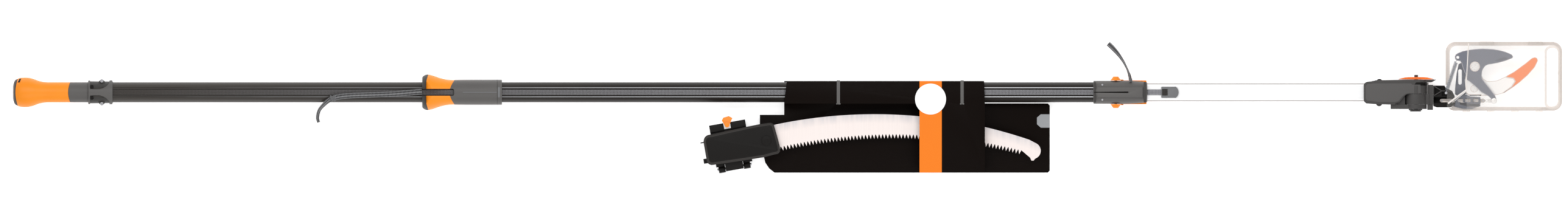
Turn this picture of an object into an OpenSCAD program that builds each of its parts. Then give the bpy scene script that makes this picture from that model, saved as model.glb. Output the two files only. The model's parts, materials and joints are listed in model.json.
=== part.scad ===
// Telescoping pole saw: a two-section pole with a pull-operated pruner head in its blade guard,
// and a curved saw with its pole clamp, held to the pole by a card carrier.
// Millimetres. X runs along the pole from the butt to the head, Y across it, Z up.
// The origin is the flat centre of the butt knob's end face, on the pole's axis.

/* [Pole] */
// Outside radius of the outer tube
outer_r = 15.7; // [15.5:0.1:16]
// Wall of both tubes
tube_wall = 1.2; // [1:0.1:1.2]
// Outside radius of the inner tube
inner_r = 14.1; // [13.8:0.1:14.1]
// Where the outer tube ends, inside the clamp
outer_end = 1735; // [1732:1:1737]
// Width of the strap that runs in the tube's groove
strap_w = 8.4; // [7:0.2:9]
// How far the inner tube can slide out
extend_travel = 1400; // [1200:10:1400]

/* [Butt] */
// Widest radius of the butt knob
knob_r = 23.1; // [22:0.1:24]
// Length of the butt knob
knob_len = 89; // [88:1:90]
// Radius of the knob's sliding stem
stem_r = 7.5; // [7:0.1:7.5]

/* [Slide grip] */
// Start of the slide grip along the pole
grip_x = 638.5; // [600:0.5:900]
// Widest radius of the grip's flare
grip_flare_r = 28; // [26:0.5:28]
// Length of the slide grip
grip_len = 124.5; // [120:0.5:130]

/* [Pole clamp] */
// Start of the pole clamp
clamp_x = 1686; // [1684:1:1688]
// Length of the pole clamp
clamp_len = 84; // [82:1:86]
// Body radius of the pole clamp
clamp_r = 18; // [17.5:0.1:18]
// Pivot of the clamp lever along the pole
lever_x = 1721; // [1719:1:1723]

/* [Pruner head] */
// Tilt axis of the head along the pole
tilt_x = 2189.8; // [2189:0.1:2191]
// Radius of the hinge knuckles
knuckle_r = 17; // [16:0.1:17]
// Half depth of the head housing
housing_z = 16.2; // [15.8:0.1:16.5]
// Thickness of the cutting blade
blade_t = 3; // [2.5:0.1:3]
// Radius of the return spring's coil
spring_r = 2.8; // [2.4:0.1:3]

/* [Blade guard] */
// Wall of the blade guard
guard_wall = 2; // [1.6:0.1:2.2]
// Top of the guard's front half
guard_top = 12; // [12:0.5:13]
// Height at which the two halves of the guard meet
guard_split = -9; // [-9.5:0.1:-8.5]

/* [Saw] */
// Turn of the saw holder against the pole
holder_turn = 10; // [9:0.5:11]
// Distance between saw teeth
tooth_pitch = 5.3; // [5:0.1:6]
// Thickness of the saw blade
saw_t = 1.8; // [1.4:0.1:2]

/* [Carrier] */
// Thickness of the card
card_t = 0.8; // [0.6:0.1:1]

/* [Hidden] */

floor_z = -28.1;
round_n = 64;
gap = 0.05;
groove_floor = 12.6;
groove_under = groove_floor - tube_wall;
inner_flat = 11;
inner_start = 190;
collar_x = 117;
collar_len = 38.8;
tube_start = 120;
clamp_end = clamp_x + clamp_len;
housing_x = 2108;
head_screw_at = [[2132.5, 16], [2132, -16.8]];
clamp_screw_at = [[1700, 11.7], [1700, -11.7]];
tie_x = [1285.4, 1478.5];
tie_w = 5.3;
tie_t = 1.1;
pivot = [2281.5, 40.2];
tail = [2311.4, -13.2];
link = [2298.4, -13.2];
frame_hole = [2280.3, 5.7];
ear = [2254.7, 54.5];
spring_foot = [2236.5, -1];
holder_at = [1136, -81.5];
wing_at = [-16, 34];
jaw_pin_at = [-16, -33];
saw_z = 2;
bore_z = -10;
card_zb = -17;
card_zf = 16.8;
card_top = 17.6;
card_bottom = -125.6;
flap_x = [1414.7, 1516.7];

// Route of the free strap tail at the slide grip
grip_tail_d = 4.4;
grip_tail_route = [
    [638, 1, 18.4], [626, 0, 18.4], [614, -1, 18.4], [602, -2, 18.4], [588, -3, 18.4],
    [574, -3.5, 18.4], [560, -4, 18.4], [546, -4.5, 18.4], [532, -5, 18.4], [518, -6, 18.4],
    [507, -7.5, 18.2], [498, -10, 17.4], [491, -14, 14.5], [486, -18.5, 9], [482.5, -22, 1],
    [480, -25, -7], [478, -28, -14], [476.5, -32, -20], [475.5, -37, -24], [475.5, -42, -25.7],
    [477, -47, -25.8]
];
// Route of the free strap tail at the pole clamp
clamp_tail_d = 4.4;
clamp_tail_route = [
    [1745, 16, 9.5], [1744, 20, 10], [1743, 24, 9.5], [1742, 28, 8], [1740.5, 32, 5],
    [1739, 36, 0.5], [1737, 40, -5], [1735, 44, -10.5], [1732.5, 48.5, -16], [1729.5, 53, -20.5],
    [1726, 58, -24], [1721.5, 63.5, -25.7], [1717, 68.5, -25.8], [1712.5, 73, -25.8],
    [1709, 76, -25.8]
];

// ---- helpers ----

// Extrude a YZ outline along the pole from x0 to x1
module along_x(x0, x1) {
    translate([x0, 0, 0])
        rotate([90, 0, 90])
            linear_extrude(x1 - x0)
                children();
}

// Cylinder along the pole
module rod_x(x0, x1, r) {
    translate([x0, 0, 0])
        rotate([0, 90, 0])
            cylinder(h = x1 - x0, r = r, $fn = round_n);
}

// Cylinder across the pole, at x and z, from y0 to y1
module rod_y(x, z, y0, y1, r) {
    translate([x, y0, z])
        rotate([-90, 0, 0])
            cylinder(h = y1 - y0, r = r, $fn = round_n);
}

// Upright cylinder at a point of the XY plane
module rod_z(at, z0, z1, r) {
    translate([at[0], at[1], z0])
        cylinder(h = z1 - z0, r = r, $fn = round_n);
}

// Upright prism over an XY outline
module slab(z0, z1) {
    translate([0, 0, z0])
        linear_extrude(z1 - z0)
            children();
}

// Box between two corners
module block(a, b) {
    translate(a)
        cube(b - a);
}

// Turned solid about the pole from [x, r] points
module turned(points) {
    rotate([90, 0, 90])
        rotate_extrude($fn = round_n)
            polygon([for (p = points) [p[1], p[0]]]);
}

// Points of an arc in the XY plane
function arc(at, r, a0, a1, n = 8) =
    [for (i = [0:n]) at + r * [cos(a0 + (a1 - a0) * i / n), sin(a0 + (a1 - a0) * i / n)]];

// Rounded rectangle from corner to corner
module round_rect(a, b, r) {
    polygon(concat(
        arc([b[0] - r, b[1] - r], r, 0, 90), arc([a[0] + r, b[1] - r], r, 90, 180),
        arc([a[0] + r, a[1] + r], r, 180, 270), arc([b[0] - r, a[1] + r], r, 270, 360)
    ));
}

// Place a child in the saw holder's turned frame
module on_holder() {
    translate([holder_at[0], holder_at[1], 0])
        rotate([0, 0, holder_turn])
            children();
}

function unit(v) = v / norm(v);
function tangent(p, i) = unit(p[min(i + 1, len(p) - 1)] - p[max(i - 1, 0)]);
function ring(p, i, r, n) =
    let (t = tangent(p, i), u = unit(cross(t, [0, 0, 1])), v = cross(u, t))
    [for (k = [0:n - 1]) p[i] + r * (cos(360 * k / n) * u + sin(360 * k / n) * v)];

// Plain round tube swept along a route
module swept(route, d, n = 8) {
    rings = len(route);
    points = [for (i = [0:rings - 1]) each ring(route, i, d / 2, n)];
    sides = [
        for (i = [0:rings - 2], k = [0:n - 1])
            [i * n + k, i * n + (k + 1) % n, (i + 1) * n + (k + 1) % n, (i + 1) * n + k]
    ];
    first = [[for (k = [0:n - 1]) n - 1 - k]];
    last = [[for (k = [0:n - 1]) (rings - 1) * n + k]];
    polyhedron(points, concat(first, sides, last), convexity = 4);
}

// ---- pole ----

module groove_outline(depth, half_w, lip_w) {
    polygon([
        [-half_w, depth], [half_w, depth], [half_w, outer_r - 1.1], [lip_w, outer_r - 0.4],
        [lip_w, outer_r + 1], [-lip_w, outer_r + 1], [-lip_w, outer_r - 0.4],
        [-half_w, outer_r - 1.1]
    ]);
}

module outer_tube() {
    color("#2b2622")
        along_x(tube_start, outer_end)
            difference() {
                circle(r = outer_r, $fn = round_n);
                difference() {
                    circle(r = outer_r - tube_wall, $fn = round_n);
                    translate([-outer_r, groove_under])
                        square([2 * outer_r, outer_r]);
                }
                groove_outline(groove_floor, 5.2, 7.6);
            }
}

module groove_strap() {
    color("#77777a")
        block([tube_start + 30, -strap_w / 2, groove_floor], [outer_end, strap_w / 2, groove_floor + 1.2]);
}

module butt_sleeve() {
    sleeve_cut_r = 39.3;
    color("#56544f")
        difference() {
            union() {
                rod_x(80, tube_start - gap, outer_r);
                intersection() {
                    rod_x(tube_start - gap, 150, outer_r - tube_wall - gap);
                    block([tube_start - 1, -outer_r, -outer_r], [150, outer_r, groove_under - gap]);
                }
            }
            rod_y(50, 0, -outer_r - 1, outer_r + 1, sleeve_cut_r);
            rod_x(70, 160, stem_r + 0.1);
        }
}

module butt_collar() {
    r = 17.3;
    end = collar_x + collar_len;
    color("#3a3733")
        difference() {
            union() {
                turned([
                    [collar_x, 0], [collar_x, 15.9], [collar_x + 1.5, 16.9], [collar_x + 4, r],
                    [end - 6, r - 0.4], [end - 1.5, r], [end, r - 0.6], [end, 0]
                ]);
                for (side = [-1, 1])
                    rod_z([138.5, side * 14.3], -8, 8.6, 5.3);
            }
            rod_x(collar_x - 1, end + 1, outer_r + gap);
            for (side = [-1, 1]) {
                rod_z([138.5, side * 18], -9, 9, 1.5);
                for (up = [-1, 1])
                    block(
                        [119.5, min(side * 5, side * 14), min(up * 14, up * 20)],
                        [141, max(side * 5, side * 14), max(up * 14, up * 20)]
                    );
            }
        }
}

module collar_screws() {
    color("silver")
        for (side = [-1, 1]) {
            rod_z([138.5, side * 18], -9.2, 9, 1.45);
            difference() {
                rod_z([138.5, side * 18], 8.65, 10.4, 2.6);
                rod_z([138.5, side * 18], 9.4, 11, 1.2);
            }
        }
}

// ---- butt knob ----

module knob_shell() {
    color("#fa961e")
        difference() {
            intersection() {
                turned([
                    [6.6, 0], [6.6, 20.9], [9, 22], [13, 22.8], [19, knob_r], [24, 22.9],
                    [29, 21.9], [34, 20.2], [39, 18.3], [44, 16.9], [49, 16], [54, outer_r],
                    [knob_len, outer_r], [knob_len, 0]
                ]);
                union() {
                    block([0, -30, -30], [60, 30, 30]);
                    rod_y(50, 0, -30, 30, 39);
                }
            }
            rod_x(5, 95, stem_r + gap);
            block([7.5, 15, -2.2], [12, 25, 2.2]);
        }
}

module knob_cap() {
    color("#4a4845")
        difference() {
            turned([
                [0, 0], [0, 9], [0.7, 13], [2, 17], [4, 19.7], [6.55, 20.8], [6.55, 0]
            ]);
            rod_x(3, 7, stem_r + gap);
        }
}

module knob_stem() {
    color("#8c8c8c")
        difference() {
            rod_x(3, 380, stem_r);
            rod_x(2, 381, stem_r - 1.5);
        }
}

// ---- slide grip ----

grip_bore = outer_r + 0.45;
grip_liner_r = 17.2;
grip_border = 678;
grip_end = grip_x + grip_len;

module grip_slot() {
    block([grip_x - 2, -5.4, 14], [grip_x + 52, 5.4, 40]);
}

module grip_flare() {
    x = grip_x + 8.5;
    color("#fa961e")
        difference() {
            turned([
                [x, 0], [x, grip_flare_r], [x + 5, 27.2], [x + 10, 25.8], [x + 16, 23.8],
                [x + 22, 21.9], [x + 29, 20.2], [x + 36, 19.3], [x + 46, 19.1], [x + 46, 0]
            ]);
            rod_x(x - 1, x + 50, grip_liner_r + gap);
            rod_y(grip_border + 21.3, 0, -30, 30, 21.3);
            grip_slot();
        }
}

module grip_rim() {
    x = grip_x;
    color("#3a3733")
        difference() {
            turned([
                [x, 0], [x, 22.5], [x + 1, 24.4], [x + 3, 26], [x + 6, 27.5], [x + 8.4, grip_flare_r],
                [x + 8.4, 0]
            ]);
            rod_x(x - 1, x + 10, grip_liner_r + gap);
            grip_slot();
        }
}

module grip_sleeve() {
    color("#565350")
        difference() {
            turned([
                [grip_border, 0], [grip_border, 19.1], [grip_border + 12, 19.4], [grip_end - 8, 19.6],
                [grip_end - 2, 19.6], [grip_end, 18.8], [grip_end, 0]
            ]);
            difference() {
                block([grip_border - 1, -30, -30], [grip_border + 21.25, 30, 30]);
                rod_y(grip_border + 21.3, 0, -31, 31, 21.25);
            }
            rod_x(grip_border - 1, grip_end + 1, grip_liner_r + gap);
        }
}

module grip_liner() {
    color("#2a2826")
        difference() {
            rod_x(grip_x, grip_end - 0.5, grip_liner_r);
            rod_x(grip_x - 1, grip_end + 1, grip_bore);
            grip_slot();
        }
}

module grip_tail() {
    color("#77777a")
        swept(grip_tail_route, grip_tail_d);
}

// ---- pole clamp ----

module clamp_body() {
    x = clamp_x;
    difference() {
        union() {
            turned([
                [x, 0], [x, 17.2], [x + 1, clamp_r], [x + 55, clamp_r], [x + 70, 17.2],
                [clamp_end - 1, 15.9], [clamp_end, 15.2], [clamp_end, 0]
            ]);
            block([x + 6, -8, -18.6], [x + 77, 8, 18.6]);
        }
        rod_x(x - 1, outer_end, outer_r + gap);
        rod_x(outer_end - 1, clamp_end + 1, inner_r + 0.35);
        block([x - 1, -0.6, 10], [x + 55, 0.6, 20]);
        rod_y(lever_x, 0, -20, 20, 2);
        for (at = clamp_screw_at)
            rod_z(at, 0, 20, 1.5);
    }
}

module clamp_shell_upper() {
    color("#5b5957")
        intersection() {
            clamp_body();
            block([clamp_x - 5, -30, 0.1], [clamp_end + 5, 30, 30]);
        }
}

module clamp_shell_lower() {
    color("#5b5957")
        intersection() {
            clamp_body();
            block([clamp_x - 5, -30, -30], [clamp_end + 5, 30, -0.1]);
        }
}

module clamp_screws() {
    color("silver")
        for (at = clamp_screw_at)
            difference() {
                rod_z(at, 12.2, 15.2, 1.45);
                rod_z(at, 14.4, 16, 0.7);
            }
}

module lever_pins() {
    color("silver")
        for (side = [-1, 1])
            rod_y(lever_x, 0, min(side * 16.2, side * 22.6), max(side * 16.2, side * 22.6), 1.95);
}

module clamp_tail() {
    color("#5a5a5c")
        swept(clamp_tail_route, clamp_tail_d);
}

module clamp_lever_side() {
    difference() {
        union() {
            translate([lever_x, 18.4, 0])
                rotate([-90, 0, 0])
                    cylinder(h = 6.1, r1 = 8.5, r2 = 4, $fn = round_n);
            block([lever_x - 7, 18.4, -15], [lever_x + 9, 19.9, 2]);
            block([lever_x + 6, 18.4, -22], [lever_x + 12, 19.9, -9]);
            block([lever_x + 8, 16.7, -23.5], [lever_x + 40, 18.6, -10]);
        }
        rod_y(lever_x, 0, 15, 30, 2.05);
    }
}

module clamp_lever() {
    color("#f58a20") {
        clamp_lever_side();
        mirror([0, 1, 0])
            clamp_lever_side();
        block([lever_x + 20, -18.6, -24.5], [lever_x + 48, 18.6, -20.5]);
    }
}

// ---- inner pole ----

module inner_outline(r, flat) {
    difference() {
        circle(r = r, $fn = round_n);
        translate([-r, flat])
            square([2 * r, r]);
    }
}

module inner_tube() {
    color("#e9e9ea")
        difference() {
            along_x(inner_start, housing_x + 26)
                difference() {
                    inner_outline(inner_r, inner_flat);
                    inner_outline(inner_r - tube_wall, inner_flat - 2.6);
                }
            block([inner_start - 1, -4.7, inner_flat - 1.4], [1800, 4.7, inner_flat + 1]);
        }
}

module inner_guide_bush() {
    color("#2a2826")
        difference() {
            along_x(inner_start - 16, inner_start - gap)
                inner_outline(inner_r + 0.05, inner_flat);
            rod_x(inner_start - 20, inner_start + 1, 9);
        }
}

module inner_strap() {
    color("#77777a")
        block([inner_start + 2, -3.9, inner_flat - 1.35], [1796, 3.9, inner_flat - 0.15]);
}

module strap_tab() {
    color("#6e7072")
        difference() {
            union() {
                block([1792, -8.7, inner_flat + gap], [1814, 8.7, inner_flat + 3.4]);
                intersection() {
                    rod_z([1808, 0], inner_flat + gap, inner_flat + 3.4, 11);
                    block([1810, -8.7, 0], [1822, 8.7, 20]);
                }
            }
            block([1793.5, -4.9, 5], [1802, 4.9, 20]);
        }
}

module housing_outline() {
    polygon([
        [housing_x, -12], [housing_x, 12], [housing_x + 2, 15], [housing_x + 5, 16.4],
        [2120, 17.2], [2127, 18.8], [2160, 19.4], [2171, 19.8], [2221.6, 19.8], [2214, 15.5],
        [tilt_x, 15.5], [2186, 10.6], [tilt_x, 10.6], [tilt_x, -2.3], [2176, -2.4], [2170, -7],
        [2164, -15], [2157, -17.6], [2157, -19.4], [2126, -18.4], [housing_x + 4, -17.5],
        [housing_x + 1, -15]
    ]);
}

module head_shell() {
    difference() {
        union() {
            intersection() {
                slab(-housing_z, housing_z)
                    housing_outline();
                union() {
                    block([2100, -30, -20], [tilt_x, 30, 20]);
                    rod_y(tilt_x, 0, -30, 30, 17);
                    block([tilt_x, 15.4, -9], [2222, 20, 9]);
                }
            }
            rod_y(tilt_x, 0, -2.3, 10.6, knuckle_r);
            rod_y(tilt_x, 0, -26.1, -19.5, knuckle_r - 0.5);
            intersection() {
                rod_y(tilt_x, 0, 10.5, 15.5, knuckle_r + 0.2);
                block([tilt_x - 5, 10, -8], [2220, 16, 8]);
            }
            block([2150, -26.1, -11], [tilt_x, -19.5, 11]);
            block([2150, -26.1, -11], [2160, -17, 11]);
            block([2155, -21, -10], [tilt_x - 8, -6, 10]);
            for (at = head_screw_at)
                rod_z(at, -6, 6, 5);
        }
        rod_x(housing_x - 1, housing_x + 26.5, inner_r + gap);
        rod_y(tilt_x, 0, -30, 30, 3.02);
        rod_y(tilt_x, 0, -19.5, -2.3, knuckle_r + 3);
        rod_x(housing_x + 20, 2160, 9);
        for (at = head_screw_at) {
            rod_z(at, -20, 8, 1.5);
            rod_z(at, -20, -8, 2.65);
        }
    }
}

module head_shell_upper() {
    color("#555352")
        intersection() {
            head_shell();
            block([2090, -40, 0.1], [2240, 40, 40]);
        }
}

module head_shell_lower() {
    color("#555352")
        intersection() {
            head_shell();
            block([2090, -40, -40], [2240, 40, -0.1]);
        }
}

module head_screws() {
    color("silver")
        for (at = head_screw_at)
            difference() {
                union() {
                    rod_z(at, -9, 7.5, 1.45);
                    rod_z(at, -10, -8.05, 2.6);
                }
                rod_z(at, -11, -9, 1.2);
            }
}

module tilt_bolt() {
    color("silver")
        rod_y(tilt_x, 0, -29, 27.1, 2.97);
}

module tilt_nut() {
    color("#4a4847")
        difference() {
            union() {
                rod_y(tilt_x - 1, 0, -28.2, -26.15, 10.6);
                rod_y(tilt_x - 1, 0, -30.1, -28.2, 8.6);
            }
            rod_y(tilt_x, 0, -29.1, -26, 3);
        }
}

module lock_knob() {
    color("#ff6e0a")
        difference() {
            intersection() {
                union() {
                    translate([tilt_x, 19.95, 0])
                        rotate([-90, 0, 0])
                            cylinder(h = 4, r1 = 27.5, r2 = 16, $fn = round_n);
                }
                block([tilt_x - 28, 19, -13], [tilt_x + 28, 30, 13]);
            }
            rod_y(tilt_x, 0, 15, 30, 3.05);
        }
}

// ---- cutter head ----

module neck_knuckle() {
    chain_slot = [[2170, -17, -10.6], [2222, -7.4, -3.4]];
    color("#454342")
        difference() {
            union() {
                rod_y(tilt_x, 0, -19.2, -2.6, knuckle_r - 0.3);
                block([2202, -19.2, -7], [2216.4, -2.6, 7]);
                block([2208.7, -19.2, -7], [2216.4, 11.6, 7]);
                block([2207.5, -19.2, -1.8], [2209, 15.1, 1.8]);
                block([2207.4, -27.5, -5], [2216, -19.2, 5]);
            }
            rod_y(tilt_x, 0, -30, 30, 3.07);
            rod_y(tilt_x, 0, -28, -19.35, knuckle_r + 0.4);
            block(chain_slot[0], chain_slot[1]);
        }
}

module cutter_frame() {
    color("#3c3a3a")
        difference() {
            slab(-11, 6)
                polygon([
                    [2216.5, -21.5], [2216.5, 10.5], [2234, 10.5], [2235.5, 7.6], [2246, 2], [2250, -6], [2250, -18],
                    [2244, -23.5], [2222, -23.5]
                ]);
            block([2210, -17, -10.4], [2260, -7.4, 7]);
            slab(-0.4, 7)
                polygon([[2219, -6], [2219, 8.5], [2228, 2.2], [2228, -2.2]]);
            slab(1, 7)
                polygon([[2221, 9], [2232.6, 9], [2241, 3], [2230, 3.8]]);
            slab(1, 7)
                polygon([[2230, 0.8], [2243, 0.8], [2246, -5.8], [2230, -5.8]]);
            slab(3.6, 7)
                round_rect([2234.2, 1.2], [2252, 14], 1);
        }
}

module frame_cover() {
    color("#6b7280")
        difference() {
            slab(-6.1, -3.8)
                polygon([
                    [2253, 30], [2256, 44], [2262, 47], [2292, 49], [2292, 20], [2292, -5],
                    [2274, -5.7], [2268, -2], [2260, -8], [2250.6, -3.4], [2250.5, 5]
                ]);
            slab(-7, 0)
                round_rect([2255.5, 12], [2261, 36], 2.6);
            rod_z(pivot, -20, 20, 3.05);
            rod_z(frame_hole, -20, 20, 2.05);
        }
}

module chain_guide() {
    pin_path_r = norm(tail - pivot);
    color("#59606c") {
        slab(-3.2, -0.8)
            difference() {
                polygon([
                    [2251, -7], [2268, -3.2], [2274, -6.6], [2290, -7.6], [2290.5, -22.2],
                    [2276, -26], [2262, -25.6], [2251, -22.7]
                ]);
                polygon(concat(
                    arc(pivot, pin_path_r + 2.6, -50, -112, 24),
                    arc(pivot, pin_path_r - 2.6, -112, -50, 24)
                ));
            }
        slab(-10.6, -0.8)
            polygon([[2250.1, -18.5], [2257.6, -18.5], [2257.6, -22.6], [2250.1, -22.7]]);
    }
}

module hook_outline() {
    polygon([
        [2266, 19], [2267.2, 0], [2272, -4.5], [2289.8, -6.2], [2316.6, -4.2], [2326.8, -1],
        [2338.6, 6.1], [2350.5, 14.7], [2363.9, 26.6], [2374.9, 39.1], [2379.9, 49.4],
        [2378.6, 53.4], [2374.9, 54.9], [2370.2, 53.3], [2360.7, 45.4], [2342.6, 32.1],
        [2328.4, 24.2], [2316.6, 18.7], [2305.9, 17.1], [2300.4, 17.5], [2294.1, 21.9],
        [2290.5, 30], [2290.5, 49], [2270, 49]
    ]);
}

module hook_tip_outline() {
    intersection() {
        hook_outline();
        polygon([
            [2324, -2.5], [2338.6, 8.5], [2344.5, 17.1], [2341.8, 21.9], [2331, 23.5], [2331, 30],
            [2372, 60], [2385, 50], [2350, 8], [2330, -4]
        ]);
    }
}

module hook_blade() {
    color("#d8d8dc")
        difference() {
            slab(-3.7, -0.3)
                difference() {
                    hook_outline();
                    hook_tip_outline();
                    translate([2250, -8])
                        square([41, 4]);
                }
            slab(-4, -0.7)
                polygon([[2250, -8], [2291.5, -8], [2291.5, -4], [2268, -2], [2250, -3]]);
            rod_z(pivot, -20, 20, 3.05);
            rod_z(frame_hole, -20, 20, 2.05);
        }
}

module hook_tip() {
    color("#f6a56a")
        slab(-3.7, -0.3)
            hook_tip_outline();
}

module pivot_bolt() {
    color("white") {
        rod_z(pivot, -9.5, 4, 3);
        rod_z(pivot, 3.2, 5, 5.9);
        rod_z(pivot, -9.5, -6.65, 5.5);
    }
}

module frame_bolt() {
    color("white") {
        rod_z(frame_hole, -9, -0.1, 2);
        rod_z(frame_hole, -9, -6.65, 5.2);
    }
}

module return_spring() {
    turns = 18;
    a = [ear[0] - 3, ear[1] - 8];
    b = [spring_foot[0] + 1.8, spring_foot[1] + 6];
    along = b - a;
    length = norm(along);
    color("#a8adb4") {
        for (i = [0:turns])
            translate([a[0] + along[0] * i / turns, a[1] + along[1] * i / turns, 6.8])
                rotate([0, 0, atan2(along[1], along[0])])
                    rotate([0, 90, 0])
                        rotate_extrude($fn = round_n)
                            translate([spring_r - 0.5, 0])
                                circle(r = 0.5, $fn = 16);
        translate([a[0], a[1], 6.8])
            rotate([0, 0, atan2(along[1], along[0])])
                rotate([0, 90, 0])
                    cylinder(h = length, r = spring_r - 0.9, $fn = round_n);
    }
}

module spring_pin() {
    color("silver") {
        rod_z(spring_foot, 1, 8, 1.2);
        rod_z(spring_foot, 8, 9, 2);
    }
}

// ---- blade guard ----

guard_lo = [2235.8, -29];
guard_hi = [2417.8, 78.9];
guard_wall_x = 2390;

module guard_half(z0, z1, lid_z0, lid_z1) {
    difference() {
        slab(z0, z1)
            round_rect(guard_lo, guard_hi, 15);
        slab(lid_z0, lid_z1)
            difference() {
                round_rect(guard_lo + [guard_wall, guard_wall], guard_hi - [guard_wall, guard_wall], 13);
                translate([guard_wall_x, -40])
                    square([50, 140]);
            }
        slab(lid_z0, lid_z1)
            difference() {
                round_rect(
                    [guard_wall_x + guard_wall, guard_lo[1] + guard_wall],
                    guard_hi - [guard_wall, guard_wall], 10
                );
                round_rect([2393 - guard_wall, -24], [2413, 70.8], 8);
            }
        slab(-50, 50)
            round_rect([2394, -21.9], [2411, 68.7], 6.5);
        slab(-50, 50)
            translate([2230, -24.4])
                square([15, 36]);
    }
}

module guard_front() {
    color("#f2ece4") {
        guard_half(guard_split + gap, guard_top, guard_split - 1, guard_top - guard_wall);
        for (x = [2288, 2364])
            block([x, 76.9, guard_split + gap], [x + 23.5, 79.9, guard_split + 8]);
    }
}

module guard_back() {
    color("#efe8df") {
        difference() {
            guard_half(floor_z, guard_split - gap, floor_z + guard_wall, guard_split + 1);
            block([2230, -24.4, -12], [2240, 11.6, 0]);
        }
        block([2252, -24, floor_z + 1], [2262, -16, -22]);
        rod_z([2284, 22], floor_z + 1, -9.6, 3);
    }
}

module guard_hinge_pin() {
    color("white")
        for (x = [2262, 2300, 2338, 2376])
            rod_x_at(x, x + 12, -30.2, guard_split, 1.1);
}

module rod_x_at(x0, x1, y, z, r) {
    translate([x0, y, z])
        rotate([0, 90, 0])
            cylinder(h = x1 - x0, r = r, $fn = round_n);
}

// ---- cutting blade and chain ----

module cutting_blade() {
    color("#7d8290")
        difference() {
            union() {
                slab(0, blade_t)
                    polygon([
                        [2250, 55.7], [2251.4, 59], [2254.7, 61.2], [2262, 64.2], [2271.9, 66.3],
                        [2283, 67.7], [2294.1, 68.3], [2309.8, 67.5], [2319, 66], [2328.4, 63.6],
                        [2335, 61], [2339.4, 58.8], [2341.2, 55.7], [2340.2, 53.3], [2329.2, 49],
                        [2316.6, 45.6], [2301.9, 43.1], [2298, 41.3], [2295.7, 38.4], [2293.6, 35],
                        [2292.5, 30], [2292.3, 26], [2293, 21], [2296.4, 16.3], [2305.2, 5.3],
                        [2313, -4.9], [2315, -9.7], [2315, -13.2], [2307.5, -13.2], [2306.7, -10.1],
                        [2301.9, -5.7], [2290.9, 0.6], [2284.7, 6.8], [2278.4, 12.4], [2272.9, 17.1],
                        [2268.9, 19.5], [2266.5, 28.9], [2262.6, 38.4], [2261, 44.7], [2258.6, 48.6],
                        [2254, 49.4], [2250.8, 51.5]
                    ]);
                rod_z(tail, 0, blade_t, 4.4);
            }
            rod_z(pivot, -20, 20, 3.07);
            rod_z(ear, -20, 20, 2);
            rod_z(tail, -20, 20, 2.05);
        }
}

module tail_pin() {
    color("#e4dcd4") {
        rod_z(tail, -8.5, 4.6, 2);
        rod_z(tail, 3.05, 4.6, 3.2);
        difference() {
            slab(-7.8, -6.2)
                polygon(concat(arc(tail, 3.4, -90, 90), arc([link[0] + 1.6, link[1]], 2.4, 90, 270)));
            rod_z([link[0] + 1.6, link[1]], -9, -5, 1.2);
        }
    }
}

chain_pitch = 12.9;
chain_joints = [for (i = [0:5]) [link[0] - 4 - i * chain_pitch, link[1]]];

module chain_plate(a, b, z0, z1) {
    difference() {
        slab(z0, z1)
            polygon(concat(arc(a, 3.1, -90, 90), arc(b, 3.1, 90, 270)));
        for (at = [a, b])
            rod_z(at, z0 - 1, z1 + 1, 1.5);
    }
}

module drive_chain() {
    color("#d9cdc4")
        for (i = [0:4])
            if (i % 2 == 0) {
                chain_plate(chain_joints[i], chain_joints[i + 1], -5.6, -4.4);
                chain_plate(chain_joints[i], chain_joints[i + 1], -9.6, -8.4);
            } else
                chain_plate(chain_joints[i], chain_joints[i + 1], -8.2, -5.8);
}

module chain_pins() {
    color("#b8aca2")
        for (at = chain_joints)
            rod_z(at, -10, -4, 1.45);
}

// ---- saw ----

saw_back = [1344.7, -783.6];
saw_back_r = 749.3;
saw_tip_a = 71.6;
saw_teeth_at = [1373.8, -873];
saw_teeth_r = 800.7;

function on_arc(at, r, a) = at + r * [cos(a), sin(a)];

module saw_outline() {
    first = 105.2;
    last = 75.6;
    count = floor((first - last) * PI / 180 * saw_teeth_r / tooth_pitch);
    step = (first - last) / count;
    back = [for (i = [0:16]) on_arc(saw_back, saw_back_r, 103.5 - (103.5 - saw_tip_a) * i / 16)];
    teeth = [
        for (i = [0:count - 1], k = [0:1])
            on_arc(saw_teeth_at, saw_teeth_r + (k == 0 ? 6.2 : 0), last + step * (i + 0.5 * k))
    ];
    polygon(concat(
        back, arc([1591, -91.4], 12.9, 62, -70, 8),
        [[1592.5, -106.8], [1589.2, -106.6], [1587.4, -102.2], [1580.5, -96.4]], teeth
    ));
}

module saw_blade() {
    color("#e6dedb")
        difference() {
            slab(saw_z, saw_z + saw_t)
                saw_outline();
            on_holder()
                rod_z([40, -1], -20, 20, 3.1);
        }
}

module holder_outline() {
    polygon(concat(
        [[-57, 14]], arc([-49, -16], 8, 180, 270, 6), [[32, -26], [50, -24]],
        arc([53, -17], 6, -80, 0, 6), [[59, -12]], arc([50, 19], 6.5, 0, 90, 6),
        [[34, 26], [13, 25.7], [-42, 23.5]], arc([-47, 14], 9.5, 90, 165, 6)
    ));
}

module pole_bore() {
    translate([-70, 0, bore_z])
        rotate([0, 90, 0])
            cylinder(h = 84, r = outer_r + 0.1, $fn = round_n);
}

module saw_holder_front() {
    color("#23201d")
        on_holder()
            difference() {
                union() {
                    slab(saw_z + saw_t + gap, 11)
                        holder_outline();
                    slab(10.9, 12.5)
                        round_rect([-54, -21], [55, 22], 8);
                    slab(12.4, 14)
                        round_rect([-51, -18], [52, 19], 7);
                }
                rod_z([40, -1], 12.6, 20, 8.5);
                rod_z([40, -1], 0, 20, 3.05);
            }
}

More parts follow.
